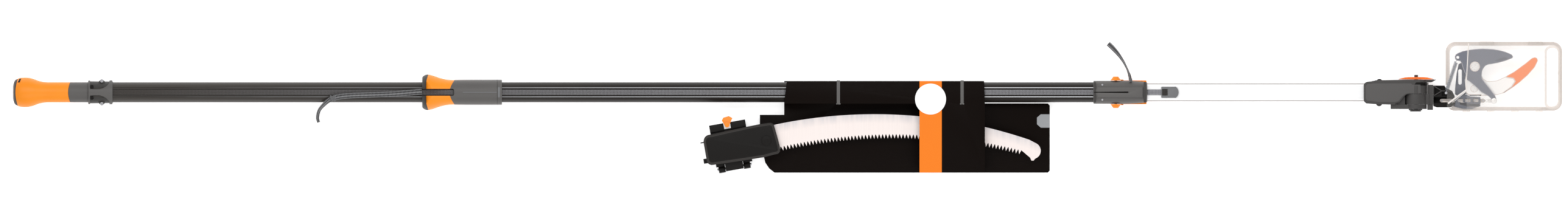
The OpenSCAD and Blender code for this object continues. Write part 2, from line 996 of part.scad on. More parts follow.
module saw_holder_back() {
    color("#23201d")
        on_holder()
            difference() {
                union() {
                    slab(-9.8, saw_z - gap)
                        holder_outline();
                    for (u = [[-44, -21.5], [-11, 13]]) {
                        block([u[0], 22, -9.8], [u[1], 37.5, saw_z - gap]);
                        block([u[0], 26.4, saw_z - 1], [u[1], 37.5, 6]);
                    }
                    block([-22, 22, -9.8], [-11, 28, 1]);
                    block([-30, -37.5, -9.8], [-2, -24, 1]);
                    block([-62, -20, -8], [-56, 14, 0]);
                }
                pole_bore();
                rod_z([40, -1], -20, 20, 3.05);
                translate([-45, -33, -16])
                    rotate([0, 90, 0])
                        cylinder(h = 60, r = 6.6, $fn = round_n);
            }
}

module saw_screw_cap() {
    color("#2b2825")
        on_holder() {
            rod_z([40, -1], 12.65, 14.2, 8.3);
            rod_z([40, -1], -8, 12.65, 3);
        }
}

module saw_clamp_jaw() {
    color("#23201d")
        on_holder()
            difference() {
                union() {
                    block([-44, -29, floor_z], [13, 37.5, -10.1]);
                    translate([-41, -33, -16])
                        rotate([0, 90, 0])
                            cylinder(h = 50, r = 5.8, $fn = round_n);
                    block([-41, -33, -21.8], [9, -28, -12]);
                }
                pole_bore();
                block([-22, 28, floor_z - 1], [-10, 40, -9]);
                translate([-45, -33, -16])
                    rotate([0, 90, 0])
                        cylinder(h = 60, r = 2.1, $fn = round_n);
                block([-30.4, -45, -30], [-1.6, -26.2, -5]);
            }
}

module saw_jaw_pin() {
    color("silver")
        on_holder() {
            translate([-43, -33, -16])
                rotate([0, 90, 0])
                    cylinder(h = 54, r = 2.05, $fn = round_n);
        }
}

module saw_clamp_bolt() {
    color("silver")
        on_holder() {
            rod_z(wing_at, -26, 12, 2);
            rod_z(wing_at, -27, -24.5, 4);
            block([-20.5, 28.1, 4], [-11.6, 37.4, 6]);
        }
}

module saw_wing_nut() {
    color("#f0961e")
        on_holder()
            difference() {
                union() {
                    rod_z(wing_at, 6.2, 13, 4);
                    slab(6.2, 9.5)
                        polygon([[-20, 34], [-23, 42], [-20, 46], [-11, 47], [-6, 43], [-12, 34]]);
                }
                rod_z(wing_at, 0, 12.2, 2.05);
            }
}

// ---- card carrier ----

// Slits that the cable ties pass through
module tie_slits() {
    for (x = tie_x)
        translate([x - 0.4, -17.7 - tie_t])
            square([tie_w + 0.8, tie_t + 0.2]);
}

module card_back() {
    color("#140804")
        slab(card_zb, card_zb + card_t)
            difference() {
                polygon([
                    [1203.5, card_top], [1515.5, card_top], [1515.5, -17.5], [1614.9, -17.5],
                    [1617.9, -20.5], [1617.9, card_bottom + 3], [1614.9, card_bottom],
                    [1188.3, card_bottom], [1180, -119], [1174, -110], [1171.8, -100.9],
                    [1165.5, -88], [1165.5, -35.2], [1203.5, -35.2]
                ]);
                tie_slits();
            }
}

module card_front() {
    z0 = card_zb + card_t;
    color("#140804") {
        slab(card_zf, card_zf + card_t)
            difference() {
                polygon([
                    [1207.2, 15.3], [1212, card_top], [1515.5, card_top], [flap_x[1], -18],
                    [flap_x[1], card_bottom], [flap_x[0], card_bottom], [flap_x[0], -17.6],
                    [1203.5, -17.6]
                ]);
                tie_slits();
            }
        block([1212, card_top - card_t, z0], [1515.5, card_top, card_zf]);
        block([1203.5, -17.6, z0], [flap_x[0], -16.8, card_zf]);
        block([flap_x[0], card_bottom, z0], [flap_x[1], card_bottom + card_t, card_zf]);
    }
}

module card_band() {
    color("#f07d0d")
        block(
            [flap_x[0], card_bottom, card_zf + card_t],
            [flap_x[0] + 34.7, card_top, card_zf + card_t + 0.3]
        );
}

module card_disc() {
    color("white")
        rod_z([1431.9, -10.6], card_zf + card_t + 0.3, card_zf + card_t + 0.7, 24.2);
}

module card_badge() {
    color("#9a9c9e")
        slab(card_zb + card_t, card_zb + card_t + 0.3)
            polygon([
                [1617.8, -34.4], [1617.8, -55.3], [1604, -55.3], [1598, -50], [1598, -39.5],
                [1604, -34.4]
            ]);
}

module cable_ties() {
    color("#3c3c3c")
        for (x = tie_x)
            difference() {
                block(
                    [x, -17.65 - tie_t, card_zb - tie_t],
                    [x + tie_w, card_top + tie_t, card_zf + card_t + tie_t]
                );
                block([x - 1, -17.65, card_zb], [x + tie_w + 1, card_top, card_zf + card_t]);
            }
}

// ---- drawing ----

outer_tube();
groove_strap();
butt_sleeve();
butt_collar();
collar_screws();
clamp_shell_upper();
clamp_shell_lower();
clamp_screws();
lever_pins();
clamp_tail();
knob_shell();
knob_cap();
knob_stem();
grip_flare();
grip_rim();
grip_sleeve();
grip_liner();
grip_tail();
clamp_lever();
inner_tube();
inner_guide_bush();
inner_strap();
strap_tab();
head_shell_upper();
head_shell_lower();
head_screws();
tilt_bolt();
tilt_nut();
lock_knob();
neck_knuckle();
cutter_frame();
frame_cover();
chain_guide();
hook_blade();
hook_tip();
pivot_bolt();
frame_bolt();
return_spring();
spring_pin();
guard_back();
guard_hinge_pin();
cutting_blade();
tail_pin();
drive_chain();
chain_pins();
guard_front();
saw_blade();
saw_holder_front();
saw_holder_back();
saw_screw_cap();
saw_clamp_bolt();
saw_clamp_jaw();
saw_jaw_pin();
saw_wing_nut();
card_back();
card_front();
card_band();
card_disc();
card_badge();
cable_ties();
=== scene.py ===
"""Looks of a telescoping pole saw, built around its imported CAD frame.

Every piece is made in the frame's own place: X along the pole, Y across it, Z up, in metres.
Sizes inside the classes are millimetres, which the Solid class turns into metres.
"""

import json
import logging
import math
from dataclasses import dataclass, field
from enum import Enum
from typing import Any, Iterable, Optional, Protocol, Sequence

import bmesh
import bpy
from mathutils import Matrix, Vector

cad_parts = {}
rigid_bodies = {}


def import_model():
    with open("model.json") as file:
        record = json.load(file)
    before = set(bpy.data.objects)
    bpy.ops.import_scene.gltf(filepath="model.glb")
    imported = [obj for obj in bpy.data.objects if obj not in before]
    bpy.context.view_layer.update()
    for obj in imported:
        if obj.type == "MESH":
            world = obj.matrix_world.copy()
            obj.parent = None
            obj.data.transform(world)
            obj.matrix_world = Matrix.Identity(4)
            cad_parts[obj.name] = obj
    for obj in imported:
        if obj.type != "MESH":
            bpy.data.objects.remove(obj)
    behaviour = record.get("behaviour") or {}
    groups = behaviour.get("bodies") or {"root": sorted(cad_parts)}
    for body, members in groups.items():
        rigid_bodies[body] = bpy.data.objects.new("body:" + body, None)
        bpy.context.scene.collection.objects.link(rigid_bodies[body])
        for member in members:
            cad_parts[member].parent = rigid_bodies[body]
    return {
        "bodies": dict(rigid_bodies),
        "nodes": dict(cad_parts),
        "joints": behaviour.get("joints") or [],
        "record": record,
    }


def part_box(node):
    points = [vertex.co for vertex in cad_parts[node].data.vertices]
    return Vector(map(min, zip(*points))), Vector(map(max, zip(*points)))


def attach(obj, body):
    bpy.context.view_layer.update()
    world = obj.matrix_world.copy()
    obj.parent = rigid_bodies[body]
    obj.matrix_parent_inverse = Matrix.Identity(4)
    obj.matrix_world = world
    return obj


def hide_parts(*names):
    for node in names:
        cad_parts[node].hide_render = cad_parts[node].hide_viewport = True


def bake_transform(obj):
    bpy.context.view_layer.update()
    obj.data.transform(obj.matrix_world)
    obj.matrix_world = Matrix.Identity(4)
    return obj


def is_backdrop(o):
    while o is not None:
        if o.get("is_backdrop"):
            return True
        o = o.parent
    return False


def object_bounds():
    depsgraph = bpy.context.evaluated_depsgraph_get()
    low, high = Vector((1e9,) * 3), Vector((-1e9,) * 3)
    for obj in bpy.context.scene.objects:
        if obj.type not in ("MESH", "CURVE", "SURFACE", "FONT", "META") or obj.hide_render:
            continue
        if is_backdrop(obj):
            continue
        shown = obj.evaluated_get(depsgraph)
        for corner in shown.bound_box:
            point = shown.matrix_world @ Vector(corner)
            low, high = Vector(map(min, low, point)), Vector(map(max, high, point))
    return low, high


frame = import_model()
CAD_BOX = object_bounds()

LOG = logging.getLogger("pole_saw")
MM = 0.001
ROUND = 96
SHARP = math.radians(32)

Point = Sequence[float]
Colour = tuple[float, float, float]


def tone(red: float, green: float, blue: float) -> Colour:
    """Turn a display colour into linear light.

    Args:
        red: Red from 0 to 255.
        green: Green from 0 to 255.
        blue: Blue from 0 to 255.

    Returns:
        The linear colour.
    """
    def linear(level: float) -> float:
        """Linear light of one display level."""
        part = level / 255
        return part / 12.92 if part <= 0.04045 else ((part + 0.055) / 1.055) ** 2.4
    return linear(red), linear(green), linear(blue)


def lerp(start: float, end: float, share: float) -> float:
    """Value at a share of the way from start to end."""
    return start + (end - start) * share


def eased(points: Sequence[Point], steps: int = 5) -> list[tuple[float, ...]]:
    """Run a smooth curve through points.

    Args:
        points: The points that the curve passes.
        steps: Stretches between two neighbouring points.

    Returns:
        The points of the curve, with both ends kept.
    """
    made = []
    last = len(points) - 1
    for i in range(last):
        around = [Vector(points[min(max(k, 0), last)]) for k in (i - 1, i, i + 1, i + 2)]
        for step in range(steps):
            t = step / steps
            a = around[1] * 2
            b = (around[2] - around[0]) * t
            c = (around[0] * 2 - around[1] * 5 + around[2] * 4 - around[3]) * t ** 2
            d = (around[1] * 3 - around[0] - around[2] * 3 + around[3]) * t ** 3
            made.append(tuple((a + b + c + d) / 2))
    made.append(tuple(points[last]))
    return made


def arc(at: Point, radius: float, start: float, end: float, steps: int = 10) -> list[Point]:
    """Points of an arc.

    Args:
        at: Centre of the arc.
        radius: Radius of the arc.
        start: First angle in degrees.
        end: Last angle in degrees.
        steps: Stretches of the arc.

    Returns:
        The points from the first angle to the last.
    """
    angles = [math.radians(lerp(start, end, i / steps)) for i in range(steps + 1)]
    return [(at[0] + radius * math.cos(a), at[1] + radius * math.sin(a)) for a in angles]


def rounded(low: Point, high: Point, radius: float, steps: int = 10) -> list[Point]:
    """Outline of a rectangle with round corners.

    Args:
        low: Lowest corner.
        high: Highest corner.
        radius: Radius of the corners.
        steps: Stretches of each corner's arc.

    Returns:
        The points of the outline.
    """
    return [
        *arc((high[0] - radius, high[1] - radius), radius, 0, 90, steps),
        *arc((low[0] + radius, high[1] - radius), radius, 90, 180, steps),
        *arc((low[0] + radius, low[1] + radius), radius, 180, 270, steps),
        *arc((high[0] - radius, low[1] + radius), radius, 270, 360, steps),
    ]


def flatted(radius: float, flat: float) -> list[Point]:
    """Outline of a circle that is cut off above a height.

    Args:
        radius: Radius of the circle.
        flat: Height of the flat over the circle's middle.

    Returns:
        The points of the outline.
    """
    edge = math.degrees(math.acos(flat / radius))
    return arc((0, 0), radius, 90 + edge, 450 - edge, ROUND)


def span(node: str) -> tuple[tuple[float, ...], tuple[float, ...]]:
    """Lowest and highest corners of a CAD node, in millimetres to a hundredth."""
    low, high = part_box(node)
    return tuple(round(c / MM, 2) for c in low), tuple(round(c / MM, 2) for c in high)


def middle(node: str) -> tuple[float, ...]:
    """Middle of a CAD node's box, in millimetres to a tenth."""
    low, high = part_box(node)
    return tuple(round(c / MM, 1) for c in (low + high) / 2)


def between(values: Sequence[Any], share: float) -> Any:
    """Value at a share of the way along values that are spread evenly.

    Args:
        values: Numbers or vectors.
        share: Share of the way from the first to the last.

    Returns:
        The value.
    """
    place = share * (len(values) - 1)
    low = min(int(place), len(values) - 2)
    return lerp(values[low], values[low + 1], place - low)


# ---- shaders ----


class Value:
    """A shader socket that takes part in arithmetic."""

    def __init__(self, tree: bpy.types.NodeTree, socket: bpy.types.NodeSocket) -> None:
        """Keep the tree and the socket that the value comes from."""
        self.tree = tree
        self.socket = socket

    def _math(self, operation: str, other: Any, swapped: bool = False) -> "Value":
        """Add one Math node for this value and another value or number.

        Args:
            operation: The node's operation.
            other: The second value or number.
            swapped: Whether the other one comes first.

        Returns:
            The node's result.
        """
        node = self.tree.nodes.new("ShaderNodeMath")
        node.operation = operation
        pair = (other, self) if swapped else (self, other)
        for slot, item in zip(node.inputs, pair):
            if isinstance(item, Value):
                self.tree.links.new(item.socket, slot)
            else:
                slot.default_value = item
        return Value(self.tree, node.outputs[0])

    def __add__(self, other: Any) -> "Value":
        """Sum."""
        return self._math("ADD", other)

    def __sub__(self, other: Any) -> "Value":
        """Difference."""
        return self._math("SUBTRACT", other)

    def __rsub__(self, other: Any) -> "Value":
        """Difference, with this value taken off."""
        return self._math("SUBTRACT", other, True)

    def __mul__(self, other: Any) -> "Value":
        """Product."""
        return self._math("MULTIPLY", other)

    __radd__ = __add__
    __rmul__ = __mul__

    def call(self, operation: str) -> "Value":
        """A Math node's operation on this value alone, such as SINE or ABSOLUTE."""
        return self._math(operation, 0.0)


class Recipe:
    """Builds one material's nodes."""

    def __init__(self, name: str) -> None:
        """Start an empty material.

        Args:
            name: Name of the material.
        """
        self.material = bpy.data.materials.new(name)
        self.material.use_nodes = True
        self.tree = self.material.node_tree
        self.tree.nodes.clear()

    def node(self, kind: str, settings: dict[str, Any], inputs: dict[Any, Any]) -> bpy.types.Node:
        """Add a node.

        Args:
            kind: The node's type, without its ShaderNode prefix.
            settings: Properties that are set first; ramp stops go under "stops".
            inputs: Values or links of its sockets, by name or number.

        Returns:
            The node.
        """
        made = self.tree.nodes.new("ShaderNode" + kind)
        for key, setting in settings.items():
            if key == "stops":
                ramp = made.color_ramp.elements
                while len(ramp) < len(setting):
                    ramp.new(1.0)
                for element, (place, colour) in zip(ramp, setting):
                    element.position = place
                    element.color = (*colour, 1)
            else:
                setattr(made, key, setting)
        for key, item in inputs.items():
            if isinstance(item, Value):
                self.tree.links.new(item.socket, made.inputs[key])
            elif isinstance(item, tuple) and made.inputs[key].type == "RGBA":
                made.inputs[key].default_value = (*item, 1)
            else:
                made.inputs[key].default_value = item
        return made

    def value(self, kind: str, settings: dict[str, Any], inputs: dict[Any, Any], out: Any = 0) -> Value:
        """Add a node and take one of its outputs."""
        return Value(self.tree, self.node(kind, settings, inputs).outputs[out])

    def place(self, stretch: Point = (1, 1, 1), centre: Point = (0, 0, 0)) -> Value:
        """Object coordinates about a centre, stretched.

        Args:
            stretch: Factors along X, Y and Z.
            centre: The centre, in metres.

        Returns:
            The place.
        """
        coords = self.value("TexCoord", {}, {}, "Object")
        centred = self.value("VectorMath", {"operation": "SUBTRACT"}, {0: coords, 1: tuple(centre)})
        return self.value("Mapping", {}, {"Vector": centred, "Scale": tuple(stretch)})

    def axes(self, place: Value) -> tuple[Value, Value, Value]:
        """The three numbers of a place."""
        parts = self.node("SeparateXYZ", {}, {0: place})
        return tuple(Value(self.tree, out) for out in parts.outputs)

    def noise(self, place: Value, scale: float, detail: float = 3.0) -> Value:
        """Smooth noise from 0 to 1."""
        return self.value("TexNoise", {}, {"Vector": place, "Scale": scale, "Detail": detail}, "Fac")

    def spread(self, item: Value, low: float, high: float, to_low: float = 0, to_high: float = 1) -> Value:
        """Map a range of a value onto another range, held at its ends."""
        return self.value("MapRange", {}, {
            "Value": item, "From Min": low, "From Max": high, "To Min": to_low, "To Max": to_high,
        })

    def blend(self, share: Any, first: Any, second: Any) -> Value:
        """Colour between two colours.

        Args:
            share: Share of the second colour.
            first: First colour, as a value or a tuple.
            second: Second colour, as a value or a tuple.

        Returns:
            The colour.
        """
        mix = self.node("Mix", {"data_type": "RGBA"}, {"Factor": share})
        for key, item in ((6, first), (7, second)):
            if isinstance(item, Value):
                self.tree.links.new(item.socket, mix.inputs[key])
            else:
                mix.inputs[key].default_value = (*item, 1)
        return Value(self.tree, mix.outputs[2])

    def bump(self, height: Value, depth: float, strength: float = 1.0) -> Value:
        """Surface detail of a depth in metres."""
        return self.value("Bump", {}, {"Height": height, "Distance": depth, "Strength": strength})

    def surface(self, colour: Any, roughness: Any, fixed: Optional[dict[str, Any]] = None,
                **varying: Any) -> bpy.types.Material:
        """Close the material with its surface shader.

        Args:
            colour: Base colour.
            roughness: Roughness.
            fixed: Other sockets' constant values by name.
            varying: Values of Metallic, Alpha or Normal, in lower case.

        Returns:
            The material.
        """
        inputs = {"Base Color": colour, "Roughness": roughness, **(fixed or {})}
        inputs.update({key.capitalize(): item for key, item in varying.items()})
        shader = self.value("BsdfPrincipled", {}, inputs)
        out = self.tree.nodes.new("ShaderNodeOutputMaterial")
        self.tree.links.new(shader.socket, out.inputs["Surface"])
        return self.material


class Finish(Protocol):
    """What every finish has: a name of its own and a way to build it."""

    name: str

    def material(self) -> bpy.types.Material:
        """Build the finish's material."""


@dataclass(frozen=True)
class Moulded:
    """Moulded plastic with a fine spark texture.

    Attributes:
        name: Name of the material.
        light: Its colour where it is lightest.
        dark: Its colour where it is darkest.
        rough: Mean roughness.
        grain: Texture waves in a metre.
        shine: Specular level.
    """

    name: str
    light: Colour
    dark: Colour
    rough: float = 0.5
    grain: float = 1100.0
    shine: float = 0.35

    def material(self) -> bpy.types.Material:
        """Build the finish.

        Returns:
            The material.
        """
        recipe = Recipe(self.name)
        place = recipe.place()
        cloud = recipe.noise(place, 22, 2)
        spark = recipe.noise(place, self.grain, 4)
        colour = recipe.blend(cloud * 0.7 + spark * 0.3, self.dark, self.light)
        rough = recipe.spread(cloud, 0.3, 0.7, self.rough - 0.05, self.rough + 0.06)
        return recipe.surface(
            colour, rough, {"Specular IOR Level": self.shine}, normal=recipe.bump(spark, 0.00012, 0.5)
        )


@dataclass(frozen=True)
class PowderCoat:
    """Dark powder coat of the outer tube, a little greyer towards the butt.

    Attributes:
        name: Name of the material.
        near: Colour towards the butt.
        far: Colour towards the clamp.
        rough: Mean roughness.
    """

    name: str = "powder_coat"
    near: Colour = tone(66, 62, 58)
    far: Colour = tone(25, 19, 15)
    rough: float = 0.42

    def material(self) -> bpy.types.Material:
        """Build the finish.

        Returns:
            The material.
        """
        recipe = Recipe(self.name)
        place = recipe.place()
        along = recipe.axes(place)[0]
        peel = recipe.noise(place, 650, 3)
        draw = recipe.noise(recipe.place(stretch=(4, 260, 260)), 1, 3)
        share = recipe.spread(along, 0.12, 0.95)
        colour = recipe.blend(share, self.near, self.far)
        rough = recipe.spread(draw, 0.3, 0.7, self.rough - 0.07, self.rough + 0.08)
        return recipe.surface(
            colour, rough, {"Specular IOR Level": 0.3}, normal=recipe.bump(peel, 0.00008, 0.35)
        )


@dataclass(frozen=True)
class LipHighlight:
    """Metal at the groove's lips, with a painted highlight that grows brighter towards the clamp.

    Attributes:
        name: Name of the material.
        near: Colour towards the butt.
        far: Colour towards the clamp.
    """

    name: str = "lip_painted_highlight"
    near: Colour = tone(50, 46, 43)
    far: Colour = tone(222, 224, 228)

    def material(self) -> bpy.types.Material:
        """Build the finish.

        Returns:
            The material.
        """
        recipe = Recipe(self.name)
        along = recipe.axes(recipe.place())[0]
        lines = recipe.noise(recipe.place(stretch=Brush.ALONG.value), 1, 4)
        share = recipe.spread(along, 0.25, 1.5) + (lines - 0.5) * 0.35
        colour = recipe.blend(recipe.spread(share, 0, 1), self.near, self.far)
        return recipe.surface(
            colour, recipe.spread(lines, 0.3, 0.7, 0.28, 0.42), {"Metallic": 0.5},
            normal=recipe.bump(lines, 0.00003, 0.5),
        )


@dataclass(frozen=True)
class Anodised:
    """Satin anodised aluminium with faint draw lines along the tube, and painted shade along its two sides.

    Attributes:
        name: Name of the material.
        colour: Colour of the draw lines.
        shade: Colour between them.
        edge: Colour of the painted shade along the tube's two sides.
        half: Half the tube's width, in metres.
        metallic: Share of bare metal.
        rough: Mean roughness.
    """

    name: str = "anodised"
    colour: Colour = tone(255, 255, 255)
    shade: Colour = tone(246, 246, 247)
    edge: Colour = tone(138, 130, 126)
    half: float = 0.0141
    metallic: float = 0.1
    rough: float = 0.34

    def material(self) -> bpy.types.Material:
        """Build the finish.

        Returns:
            The material.
        """
        recipe = Recipe(self.name)
        draw = recipe.noise(recipe.place(stretch=(5, 900, 900)), 1, 4)
        side = recipe.axes(recipe.place())[1].call("ABSOLUTE")
        # Painted shade: a darker band near each side of the tube, where its round wall turns away.
        line = recipe.spread(side, self.half - 0.0019, self.half - 0.0013)
        colour = recipe.blend(line, recipe.blend(draw, self.shade, self.colour), self.edge)
        rough = recipe.spread(draw, 0.3, 0.7, self.rough - 0.05, self.rough + 0.07)
        return recipe.surface(
            colour, rough, {"Metallic": self.metallic}, normal=recipe.bump(draw, 0.00003, 0.4)
        )


@dataclass(frozen=True)
class Braid:
    """Flat braided strap: strands that cross the strap in two slanting sets.

    Attributes:
        name: Name of the material.
        light: Colour of the strands' crowns at the far end of the strap.
        dark: Colour between the strands.
        near: Colour of the crowns at the near end.
        strands: Strands in a metre along the strap.
        reach: Distance in metres over which the near colour turns to the far one.
        mapped: Whether the pattern follows the piece's UV map, in metres.
    """

    name: str
    light: Colour
    dark: Colour
    near: Colour
    strands: float = 230.0
    reach: tuple[float, float] = (0.2, 1.2)
    mapped: bool = False

    def material(self) -> bpy.types.Material:
        """Build the finish.

        Returns:
            The material.
        """
        recipe = Recipe(self.name)
        if self.mapped:
            place = recipe.value("TexCoord", {}, {}, "UV")
        else:
            place = recipe.place()
        along, across, _ = recipe.axes(place)
        turns = math.tau * self.strands
        first = ((along + across) * turns).call("SINE")
        second = ((along - across) * turns).call("SINE")
        weave = (first * second) * 0.5 + 0.5
        fuzz = recipe.noise(place, 1500, 3)
        crown = recipe.spread(weave + (fuzz - 0.5) * 0.5, 0.3, 0.75)
        tint = recipe.blend(recipe.spread(along, *self.reach), self.near, self.light)
        colour = recipe.blend(crown, self.dark, tint)
        return recipe.surface(
            colour, 0.8, {"Specular IOR Level": 0.2, "Sheen Weight": 0.15},
            normal=recipe.bump(crown, 0.0004, 0.8),
        )


class Brush(Enum):
    """Direction of the brush lines on metal, as a stretch of the pattern."""

    ALONG = (12, 1300, 1300)
    ACROSS = (1300, 14, 1300)
    NONE = (500, 500, 500)


@dataclass(frozen=True)
class Steel:
    """Ground, plated or coated steel.

    Attributes:
        name: Name of the material.
        light: Colour of the bright brush lines.
        dark: Colour of the dark ones.
        metallic: Share of bare metal.
        rough: Mean roughness.
        brush: Direction of the brush lines.
    """

    name: str
    light: Colour
    dark: Colour
    metallic: float = 0.6
    rough: float = 0.35
    brush: Brush = Brush.NONE

    def material(self) -> bpy.types.Material:
        """Build the finish.

        Returns:
            The material.
        """
        recipe = Recipe(self.name)
        lines = recipe.noise(recipe.place(stretch=self.brush.value), 1, 4)
        cloud = recipe.noise(recipe.place(), 35, 2)
        colour = recipe.blend(lines * 0.6 + cloud * 0.4, self.dark, self.light)
        rough = recipe.spread(lines, 0.25, 0.75, self.rough - 0.08, self.rough + 0.08)
        return recipe.surface(
            colour, rough, {"Metallic": self.metallic}, normal=recipe.bump(lines, 0.00003, 0.5)
        )


@dataclass(frozen=True)
class SawSteel:
    """Pale ground steel, brushed across the blade, greyer along its back.

    Attributes:
        name: Name of the material.
        centre: Centre of the back's arc, in metres.
        back: Radius of the back's arc, in metres.
        pale: Colour of the body.
        grey: Colour along the back.
        fade: Depth in metres over which the grey fades.
    """

    name: str
    centre: Point
    back: float
    pale: Colour = tone(246, 236, 232)
    grey: Colour = tone(196, 194, 198)
    fade: float = 0.014

    def material(self) -> bpy.types.Material:
        """Build the finish.

        Returns:
            The material.
        """
        recipe = Recipe(self.name)
        place = recipe.place(centre=(self.centre[0], self.centre[1], 0))
        radius = recipe.value(
            "VectorMath", {"operation": "LENGTH"},
            {0: recipe.value("VectorMath", {"operation": "MULTIPLY"}, {0: place, 1: (1, 1, 0)})},
            "Value",
        )
        lines = recipe.noise(recipe.place(stretch=Brush.ACROSS.value), 1, 4)
        streak = recipe.noise(recipe.place(stretch=(160, 9, 9)), 1, 3)
        depth = recipe.spread(radius, self.back - self.fade, self.back)
        share = depth * recipe.spread(streak, 0.35, 0.7, 0.35, 1.0)
        brushed = recipe.blend(lines, tone(232, 220, 216), self.pale)
        colour = recipe.blend(share, brushed, self.grey)
        rough = recipe.spread(lines, 0.25, 0.75, 0.38, 0.55)
        return recipe.surface(
            colour, rough, {"Metallic": 0.2}, normal=recipe.bump(lines, 0.00003, 0.5)
        )


@dataclass(frozen=True)
class ClearPlastic:
    """Frosted clear plastic: thin and warm, with milkier rims.

    Attributes:
        name: Name of the material.
        colour: Body colour.
        film: Alpha where the wall faces the eye.
        rim: Alpha where it is seen edge on.
        milky: Alpha added past the step between its clear and milky stretches.
        step: Place of that step along the pole, in metres.
    """

    name: str
    colour: Colour = tone(255, 251, 247)
    film: float = 0.04
    rim: float = 0.5
    milky: float = 0.055
    step: float = 2.268

    def material(self) -> bpy.types.Material:
        """Build the finish.

        Returns:
            The material.
        """
        recipe = Recipe(self.name)
        frost = recipe.noise(recipe.place(), 260, 3)
        flow = recipe.noise(recipe.place(), 14, 2)
        facing = recipe.value("LayerWeight", {}, {"Blend": 0.35}, "Facing")
        alpha = recipe.spread(facing, 0.25, 0.95, self.film, self.rim)
        along = recipe.axes(recipe.place())[0]
        alpha = alpha + recipe.spread(along, self.step, self.step + 0.0012, 0, self.milky)
        alpha = alpha + (flow - 0.5) * 0.03
        colour = recipe.blend(flow, tone(250, 243, 236), self.colour)
        return recipe.surface(
            colour, recipe.spread(frost, 0.3, 0.7, 0.22, 0.34), {"Specular IOR Level": 0.4},
            alpha=alpha, normal=recipe.bump(frost, 0.00006, 0.3),
        )


@dataclass(frozen=True)
class Board:
    """Printed card: an even ink over a faint paper grain.

    Attributes:
        name: Name of the material.
        ink: Colour of the ink.
        worn: Colour where the ink is thin.
        rough: Mean roughness.
        shine: Specular level.
    """

    name: str
    ink: Colour
    worn: Colour
    rough: float = 0.45
    shine: float = 0.25

    def material(self) -> bpy.types.Material:
        """Build the finish.

        Returns:
            The material.
        """
        recipe = Recipe(self.name)
        place = recipe.place()
        fibre = recipe.noise(recipe.place(stretch=(120, 420, 420)), 1, 4)
        cloud = recipe.noise(place, 9, 2)
        colour = recipe.blend(fibre * 0.4 + cloud * 0.6, self.ink, self.worn)
        rough = recipe.spread(fibre, 0.3, 0.7, self.rough - 0.04, self.rough + 0.05)
        return recipe.surface(
            colour, rough, {"Specular IOR Level": self.shine}, normal=recipe.bump(fibre, 0.00004, 0.3)
        )


